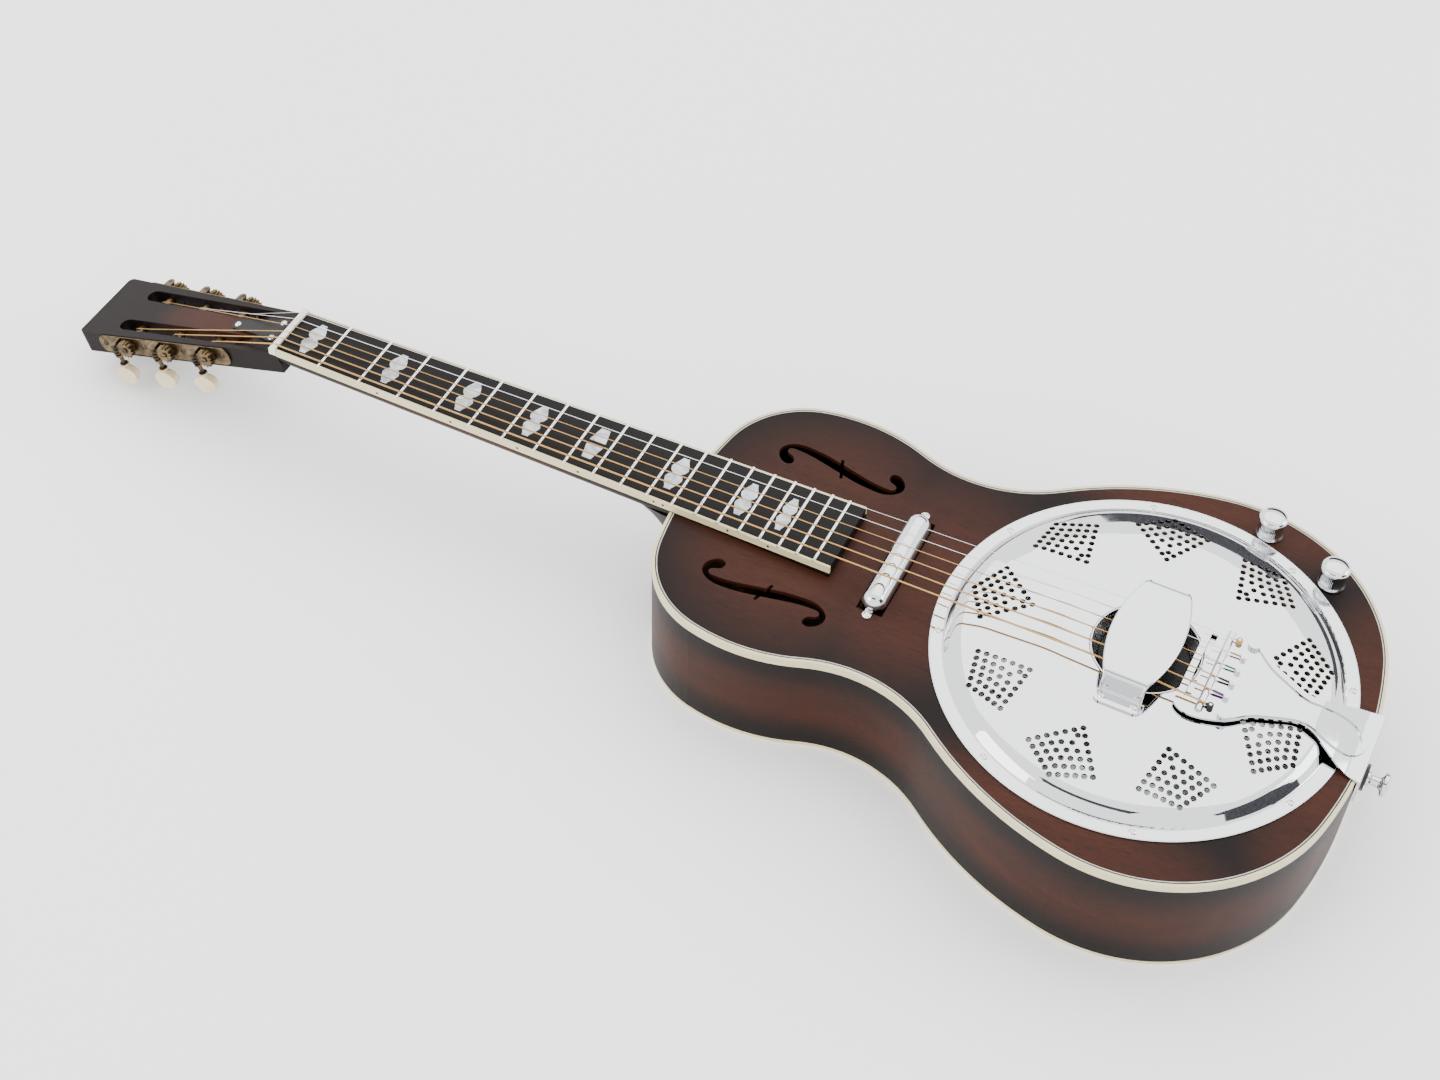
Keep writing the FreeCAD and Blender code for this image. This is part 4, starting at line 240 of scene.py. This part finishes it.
def spun_metal(name, color):
    """Lathe-spun sheet: fine rings about the cone's middle."""
    recipe = Recipe(name, color=color, rough=0.32, metal=1.0)
    axes = recipe.axes()
    reach = recipe.math("SQRT", recipe.math("ADD", recipe.math("MULTIPLY", axes[0], axes[0]),
                                            recipe.math("MULTIPLY", axes[1], axes[1])))
    rings = recipe.math("SINE", recipe.math("MULTIPLY", reach, 5200.0))
    fine = recipe.noise(recipe.stretch(300.0, 300.0, 300.0), 1.0, 3.0)
    recipe.set("Roughness", recipe.level(fine, 0.2, 0.8, 0.26, 0.42))
    recipe.bump(rings, 0.00003, 0.4)
    return recipe.material


aluminium = spun_metal("spun_aluminium", (0.72, 0.73, 0.74))


def aged_metal(name, bright, dull, rough):
    """Brass or bronze with a darker patina in patches and fine wear scratches."""
    recipe = Recipe(name, rough=rough, metal=1.0)
    patches = recipe.noise(recipe.stretch(160.0, 160.0, 160.0), 1.0, 6.0, 0.65, 0.4)
    scratches = recipe.level(recipe.noise(recipe.stretch(500.0, 5000.0, 900.0), 1.0, 2.0), 0.6, 0.7)
    tone = recipe.mix(recipe.level(patches, 0.3, 0.72), dull, bright)
    recipe.set("Base Color", recipe.mix(recipe.math("MULTIPLY", scratches, 0.3), tone, bright))
    recipe.set("Roughness", recipe.level(patches, 0.25, 0.8, rough + 0.14, rough - 0.04))
    recipe.bump(patches, 0.00005, 0.35)
    return recipe.material


brass = aged_metal("antique_brass", (0.19, 0.135, 0.070), (0.060, 0.042, 0.024), 0.30)
bronze = aged_metal("dark_bronze", (0.12, 0.085, 0.055), (0.035, 0.026, 0.020), 0.34)
print("metals ready")

# %% [markdown]
# Plastics and shell: cream celluloid with slow streaks, ivory buttons, pearl with grey figure, satin black.

# %% Plastics, pearl, bone and felt
def streaked(name, light, dark, rough, stretch, coat=0.4, glow=0.0, spec=0.4):
    recipe = Recipe(name, rough=rough, coat=coat, coat_rough=0.08)
    recipe.set("Specular IOR Level", spec)
    flow = recipe.noise(recipe.stretch(*stretch), 1.0, 5.0, 0.6, 1.2)
    recipe.set("Base Color", recipe.mix(recipe.level(flow, 0.3, 0.7), dark, light))
    recipe.set("Subsurface Weight", glow)
    recipe.set("Subsurface Radius", (0.004, 0.003, 0.0015))
    recipe.set("Subsurface Scale", 0.5)
    grit = recipe.noise(recipe.stretch(700.0, 700.0, 700.0), 1.0, 2.0)
    recipe.bump(grit, 0.00001, 0.4)
    return recipe.material


cream = streaked("cream_celluloid", (0.62, 0.54, 0.32), (0.54, 0.46, 0.26), 0.34, (12.0, 90.0, 90.0))
ivory = streaked("ivory_plastic", (0.66, 0.55, 0.36), (0.56, 0.45, 0.27), 0.22, (60.0, 140.0, 60.0), 0.5)
bone = streaked("polished_bone", (0.80, 0.77, 0.68), (0.66, 0.62, 0.52), 0.30, (200.0, 60.0, 200.0))
pearl = streaked("pearl", (0.56, 0.58, 0.59), (0.24, 0.27, 0.30), 0.16, (90.0, 130.0, 90.0), 0.6)
black_plastic = streaked("satin_black", (0.012, 0.012, 0.013), (0.007, 0.007, 0.007), 0.40,
                         (50.0, 50.0, 50.0), 0.03, spec=0.15)


def felt_cloth(name):
    recipe = Recipe(name, color=(0.010, 0.010, 0.010), rough=0.95)
    fibres = recipe.noise(recipe.stretch(900.0, 2200.0, 900.0), 1.0, 6.0, 0.8, 1.0)
    recipe.set("Base Color", recipe.mix(fibres, (0.006, 0.006, 0.006), (0.030, 0.028, 0.028)))
    recipe.set("Sheen Weight", 0.4)
    recipe.bump(fibres, 0.00025, 0.8)
    return recipe.material


felt = felt_cloth("pressed_felt")
print("plastics ready")

# %% [markdown]
# The strings are one piece in the frame. Four are bronze-wound on the bass side, with painted shade in the
# grooves between winding turns and a painted highlight on their crowns. Two are bare steel, and each has its
# own colour of silk just ahead of its ball end.

# %% Strings
def string_material():
    recipe = Recipe("strings", rough=0.30, metal=1.0)
    axes = recipe.axes()
    past_nut = recipe.math("MAXIMUM", recipe.math("SUBTRACT", -0.646, axes[0]), 0.0)
    border = recipe.math("ADD", 0.0085, recipe.math("MULTIPLY", past_nut, 0.08))
    wound = recipe.math("LESS_THAN", axes[1], border)
    turns = recipe.math("SINE", recipe.math("MULTIPLY", axes[0], 14000.0))
    # Painted shade and highlight: the bronze is darker in the grooves between winding turns and lighter on
    # their crowns, following the same turns as the bump.
    bronze_with_groove_shade = recipe.mix(recipe.level(turns, -1.0, 1.0), (0.26, 0.14, 0.05), (0.62, 0.38, 0.15))
    metal_with_groove_shade = recipe.mix(wound, (0.72, 0.71, 0.69), bronze_with_groove_shade)
    silk = recipe.math("MULTIPLY", recipe.level(axes[0], 0.0478, 0.0482, smooth=False),
                       recipe.level(axes[0], 0.0560, 0.0556, smooth=False))
    lane = recipe.math("DIVIDE", recipe.math("ADD", axes[1], 0.0342), 0.0684, clamp=True)
    ramp = recipe.add("ShaderNodeValToRGB")
    ramp.color_ramp.interpolation = "CONSTANT"
    colors = ((0.01, 0.01, 0.01), (0.10, 0.02, 0.14), (0.01, 0.01, 0.01), (0.01, 0.13, 0.05),
              (0.22, 0.12, 0.02), (0.45, 0.27, 0.08))
    while len(ramp.color_ramp.elements) < len(colors):
        ramp.color_ramp.elements.new(0.5)
    for index, color in enumerate(colors):
        ramp.color_ramp.elements[index].position = index / len(colors)
        ramp.color_ramp.elements[index].color = (*color, 1.0)
    recipe.feed(ramp.inputs["Fac"], lane)
    chrome_ring = recipe.level(axes[0], 0.0478, 0.0482, smooth=False)
    tone = recipe.mix(chrome_ring, metal_with_groove_shade, (0.80, 0.80, 0.81))
    recipe.set("Base Color", recipe.mix(silk, tone, ramp.outputs["Color"]))
    recipe.set("Metallic", recipe.math("SUBTRACT", 1.0, silk))
    recipe.set("Roughness", recipe.level(silk, 0.0, 1.0, 0.28, 0.85))
    recipe.bump(recipe.math("MULTIPLY", turns, wound), 0.00008, 0.6)
    return recipe.material


string_metal = string_material()
print("strings ready")

# %% [markdown]
# Each slot of the record gets its material. The top, sides and back share a slot but not a sunburst.

# %% Dress the frame
BY_SLOT = {
    "sunburst_mahogany": top_wood, "neck_mahogany": neck_wood, "cream_binding": cream,
    "pale_spruce": inner_wood, "spun_aluminium": aluminium, "black_maple": black_wood,
    "mirror_chrome": chrome, "nickel_steel": nickel, "black_felt": felt, "dark_rosewood": board_wood,
    "pearl": pearl, "black_plastic": black_plastic, "bone": bone, "antique_brass": brass,
    "dark_bronze": bronze, "ivory_plastic": ivory, "bronze_wire": string_metal,
}
BY_NODE = {"sides": side_wood, "back_panel": back_wood}
slot_of = {entry["node"]: entry["material_slot"] for entry in frame["record"]["subparts"]}
for name, piece in NODES.items():
    piece.data.materials.clear()
    piece.data.materials.append(BY_NODE.get(name, BY_SLOT[slot_of[name]]))
print("dressed", len(NODES), "pieces")

# %% [markdown]
# Small helpers for the pieces that are modelled here instead of in the frame.

# %% Piece helpers
def new_piece(name, verts, faces, material, body, smooth=True):
    mesh = bpy.data.meshes.new(name)
    mesh.from_pydata([tuple(v) for v in verts], [], faces)
    work = bmesh.new()
    work.from_mesh(mesh)
    bmesh.ops.remove_doubles(work, verts=work.verts, dist=1e-7)
    bmesh.ops.recalc_face_normals(work, faces=work.faces)
    work.to_mesh(mesh)
    work.free()
    mesh.materials.append(material)
    for face in mesh.polygons:
        face.use_smooth = smooth
    piece = bpy.data.objects.new(name, mesh)
    bpy.context.scene.collection.objects.link(piece)
    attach(piece, body)
    return piece


def rings_to_faces(rings, count, closed_ends=True):
    """Quads between neighbouring rings of the same number of points, with flat caps."""
    faces = []
    for row in range(rings - 1):
        for step in range(count):
            a = row * count + step
            b = row * count + (step + 1) % count
            faces.append((a, b, b + count, a + count))
    if closed_ends:
        faces.append(tuple(range(count))[::-1])
        faces.append(tuple(range((rings - 1) * count, rings * count)))
    return faces


print("helpers ready")

# %% [markdown]
# The top's purfling is a black line and a pale grey line laid just inside the binding, each under a
# millimetre wide. Their path is the soundboard's own outer edge, drawn inwards.

# %% Purfling
def soundboard_edge():
    """Outer edge of the soundboard's upper face, in order round the body."""
    work = bmesh.new()
    work.from_mesh(NODES["top_soundboard"].data)
    bmesh.ops.remove_doubles(work, verts=work.verts, dist=1e-6)
    high = max(v.co.z for v in work.verts)
    upper = {f for f in work.faces if all(high - v.co.z < 1e-5 for v in f.verts)}
    rims = {}
    for edge in work.edges:
        if len(upper.intersection(edge.link_faces)) == 1:
            for vertex in edge.verts:
                rims.setdefault(vertex, []).append(edge.other_vert(vertex))
    loops = []
    while rims:
        loop = [next(iter(rims))]
        while loop[-1] in rims:
            onward = [v for v in rims.pop(loop[-1]) if v in rims]
            loop += onward[:1]
        loops.append([v.co.copy() for v in loop])
    edge_points = max(loops, key=lambda loop: max(p.x for p in loop) - min(p.x for p in loop))
    work.free()
    area = sum(a.x * b.y - b.x * a.y for a, b in zip(edge_points, edge_points[1:] + edge_points[:1]))
    return (edge_points if area > 0 else edge_points[::-1]), high


def inward_ring(loop, inset, height):
    ring = []
    for index, point in enumerate(loop):
        before, after = loop[index - 1], loop[(index + 1) % len(loop)]
        way = (after - before).normalized()
        ring.append(Vector((point.x - way.y * inset, point.y + way.x * inset, height)))
    return ring


def flat_line(name, loop, start, end, height, thick, material):
    count = len(loop)
    rings = [inward_ring(loop, start, height), inward_ring(loop, start, height + thick),
             inward_ring(loop, end, height + thick), inward_ring(loop, end, height)]
    verts = [v for ring in rings for v in ring]
    faces = rings_to_faces(4, count, closed_ends=False)
    faces += [(3 * count + i, 3 * count + (i + 1) % count, (i + 1) % count, i) for i in range(count)]
    return new_piece(name, verts, faces, material, "guitar", smooth=False)


edge_loop, top_height = soundboard_edge()
grey_line = streaked("grey_line", (0.42, 0.42, 0.38), (0.30, 0.30, 0.27), 0.35, (80.0, 80.0, 80.0))
flat_line("purfling_black", edge_loop, 0.00005, 0.0008, top_height, 0.00003, black_plastic)
flat_line("purfling_grey", edge_loop, 0.0008, 0.0015, top_height, 0.00003, grey_line)
print("purfling follows", len(edge_loop), "points")

# %% [markdown]
# The two knobs have a flared foot, a knurled waist and a domed cap, all in chrome.

# %% Knobs
KNOB_SECTION = (
    (8.9, 0.0), (9.5, 0.15), (9.6, 0.5), (9.45, 1.0), (8.9, 1.9), (8.65, 2.6), (8.6, 3.0), (8.6, 12.3),
    (8.65, 12.6), (9.1, 13.1), (9.5, 13.5), (9.6, 14.0), (9.6, 15.0), (9.35, 15.7), (8.5, 16.6),
    (7.0, 17.4), (5.0, 18.0), (2.6, 18.4), (0.6, 18.5),
)


def make_knob(name, node, body):
    low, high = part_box(node)
    middle = (low + high) / 2
    count = 288
    verts = []
    for radius, lift in KNOB_SECTION:
        knurled = 2.9 < lift < 12.4
        for step in range(count):
            ridge = 0.22 * abs((step % 6) / 3.0 - 1.0) if knurled else 0.0
            turn = 2 * math.pi * step / count
            reach = (radius - ridge) / 1000
            x = middle.x + reach * math.cos(turn)
            y = middle.y + reach * math.sin(turn)
            verts.append((x, y, low.z + lift / 1000))
    piece = new_piece(name, verts, rings_to_faces(len(KNOB_SECTION), count), chrome, body)
    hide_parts(node)
    return piece


for name in ("volume", "tone"):
    make_knob(f"{name}_knob_knurled", f"{name}_knob", f"{name}_control")
print("knobs made")

# %% [markdown]
# Sheet metal edges are rolled, not sharp. Each rolled edge is a thin bead swept along the edge's path.

# %% Rolled edges
def bead(name, path, radius, material, body, closed=False, sides=16):
    """A round bead along a path, its rings kept square to the path without twisting."""
    count = len(path)
    normal = None
    verts = []
    for index, point in enumerate(path):
        before = path[index - 1] if closed or index else point
        after = path[(index + 1) % count] if closed or index < count - 1 else point
        way = (after - before).normalized()
        normal = way.orthogonal() if normal is None else normal - way * normal.dot(way)
        normal.normalize()
        across = way.cross(normal)
        for step in range(sides):
            turn = 2 * math.pi * step / sides
            verts.append(point + normal * (radius * math.cos(turn)) + across * (radius * math.sin(turn)))
    faces = rings_to_faces(count, sides, closed_ends=not closed)
    if closed:
        last = (count - 1) * sides
        shift = min(range(sides), key=lambda k: (Vector(verts[last]) - Vector(verts[k])).length)
        faces += [(last + k, last + (k + 1) % sides, (k + 1 + shift) % sides, (k + shift) % sides)
                  for k in range(sides)]
    return new_piece(name, verts, faces, material, body)


def circle_path(radius, height, steps=240):
    turns = [2 * math.pi * step / steps for step in range(steps)]
    return [Vector((radius * math.cos(turn), radius * math.sin(turn), height)) for turn in turns]


cover_low, cover_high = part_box("cover_plate")
rim_radius = (cover_high.x - cover_low.x) / 2
opening_radius = 0.0350
outer_path = circle_path(rim_radius - 0.0004, top_height + 0.0007, 360)
inner_path = circle_path(opening_radius, cover_high.z - 0.0008)
bead("cover_outer_roll", outer_path, 0.0006, chrome, "guitar", closed=True)
bead("cover_inner_roll", inner_path, 0.0008, chrome, "guitar", closed=True)


def palm_rest_edge(side):
    """One long edge of the palm rest: up a leg, bowed across the top, down the other leg."""
    low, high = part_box("palm_rest")
    middle, top = (low.x + high.x) / 2, high.z
    foot = cover_high.z + 0.0014
    half_end, half_middle, half_long = 0.0130, 0.0220, 0.0424
    leg_lean, below_top, corner_drop, steps = 0.0021, 0.0010, 0.0022, 24
    sag = half_middle - half_end
    arc_radius = (half_long ** 2 + sag ** 2) / (2 * sag)
    path = [Vector((middle + side * half_end, -half_long - leg_lean, foot))]
    for step in range(steps + 1):
        y = -half_long + 2 * half_long * step / steps
        out = half_middle - arc_radius + math.sqrt(arc_radius ** 2 - y ** 2)
        height = top - below_top - (corner_drop if step in (0, steps) else 0.0)
        path.append(Vector((middle + side * out, y, height)))
    path.append(Vector((middle + side * half_end, half_long + leg_lean, foot)))
    return path


for side, word in ((-1, "front"), (1, "back")):
    bead(f"palm_rest_{word}_roll", palm_rest_edge(side), 0.0011, chrome, "guitar")
print("rolled edges made")

# %% [markdown]
# A flat pale floor, a white room, three large soft panels, and grey cards that put dark lines in the chrome.

# %% Floor and lights
def pale_floor():
    recipe = Recipe("pale_floor", rough=0.6)
    cloud = recipe.noise(recipe.stretch(3.0, 3.0, 3.0), 1.0, 3.0)
    recipe.set("Base Color", recipe.mix(cloud, (0.93, 0.93, 0.935), (0.95, 0.95, 0.95)))
    mesh = bpy.data.meshes.new("floor")
    mesh.from_pydata([(-6, -6, 0), (6, -6, 0), (6, 6, 0), (-6, 6, 0)], [], [(0, 1, 2, 3)])
    mesh.materials.append(recipe.material)
    floor = bpy.data.objects.new("floor", mesh)
    bpy.context.scene.collection.objects.link(floor)
    return floor


def panel(name, place, target, wide, tall, power, color=(1.0, 1.0, 1.0)):
    lamp = bpy.data.lights.new(name, "AREA")
    lamp.shape = "RECTANGLE"
    lamp.size, lamp.size_y = wide, tall
    lamp.energy = power
    lamp.color = color
    holder = bpy.data.objects.new(name, lamp)
    holder.location = place
    aim = Vector(target) - Vector(place)
    holder.rotation_mode = "QUATERNION"
    holder.rotation_quaternion = aim.to_track_quat("-Z", "Y")
    bpy.context.scene.collection.objects.link(holder)
    return holder


def dark_card(name, place, target, wide, tall):
    """A matt grey card off to one side, which puts a dark line into the chrome."""
    recipe = Recipe(name, color=(0.035, 0.035, 0.04), rough=0.9)
    mesh = bpy.data.meshes.new(name)
    half_wide, half_tall = wide / 2, tall / 2
    mesh.from_pydata([(-half_wide, -half_tall, 0), (half_wide, -half_tall, 0), (half_wide, half_tall, 0),
                      (-half_wide, half_tall, 0)], [], [(0, 1, 2, 3)])
    mesh.materials.append(recipe.material)
    card = bpy.data.objects.new(name, mesh)
    card.rotation_mode = "QUATERNION"
    card.rotation_quaternion = (Vector(target) - Vector(place)).to_track_quat("Z", "Y")
    card.location = place
    bpy.context.scene.collection.objects.link(card)
    return card


floor = pale_floor()
cards = [
    dark_card("card_behind", (0.3, 3.0, 1.1), (0.0, 0.0, 0.1), 3.4, 1.0),
    dark_card("card_tail", (2.4, -0.2, 1.2), (0.0, 0.0, 0.1), 1.6, 1.6),
    dark_card("card_camera", (-0.1, -1.5, 2.6), (0.0, 0.0, 0.1), 1.8, 0.7),
]
panel("overhead", (-0.2, 1.5, 2.5), (-0.2, 1.1, 0.0), 3.2, 2.4, 34.0)
panel("front_left", (-1.8, -1.6, 1.5), (-0.2, 0.0, 0.05), 1.4, 1.2, 22.0, (1.0, 0.985, 0.96))
panel("tail_side", (1.7, 0.9, 1.2), (0.0, 0.0, 0.08), 1.2, 1.0, 16.0, (0.97, 0.985, 1.0))
world = bpy.data.worlds.new("studio")
bpy.context.scene.world = world
world.use_nodes = True
world.node_tree.nodes["Background"].inputs["Color"].default_value = (1.0, 1.0, 1.0, 1.0)
world.node_tree.nodes["Background"].inputs["Strength"].default_value = 2.7
print("floor, cards, three panels and a white room")

# %% [markdown]
# The camera stands on the bass side near the tail, about 1.5 m away, and looks down at the cone.

# %% Camera
def standing_camera():
    azimuth, elevation, roll = (math.radians(v) for v in (25.11, 49.43, 1.99))
    back = Vector((math.sin(azimuth) * math.cos(elevation), -math.cos(azimuth) * math.cos(elevation),
                   math.sin(elevation)))
    level_right = Vector((math.cos(azimuth), math.sin(azimuth), 0.0))
    level_up = back.cross(level_right)
    right = level_right * math.cos(roll) + level_up * math.sin(roll)
    up = level_up * math.cos(roll) - level_right * math.sin(roll)
    data = bpy.data.cameras.new("camera")
    data.sensor_width = 36.0
    data.lens = 58.52
    data.clip_start, data.clip_end = 0.01, 50.0
    camera = bpy.data.objects.new("camera", data)
    turn = Matrix((right, up, back)).transposed().to_4x4()
    camera.matrix_world = Matrix.Translation((0.1430, -0.9452, 1.2641)) @ turn
    bpy.context.scene.collection.objects.link(camera)
    bpy.context.scene.camera = camera
    return camera


camera = standing_camera()
print("camera at", [round(v, 3) for v in camera.location])
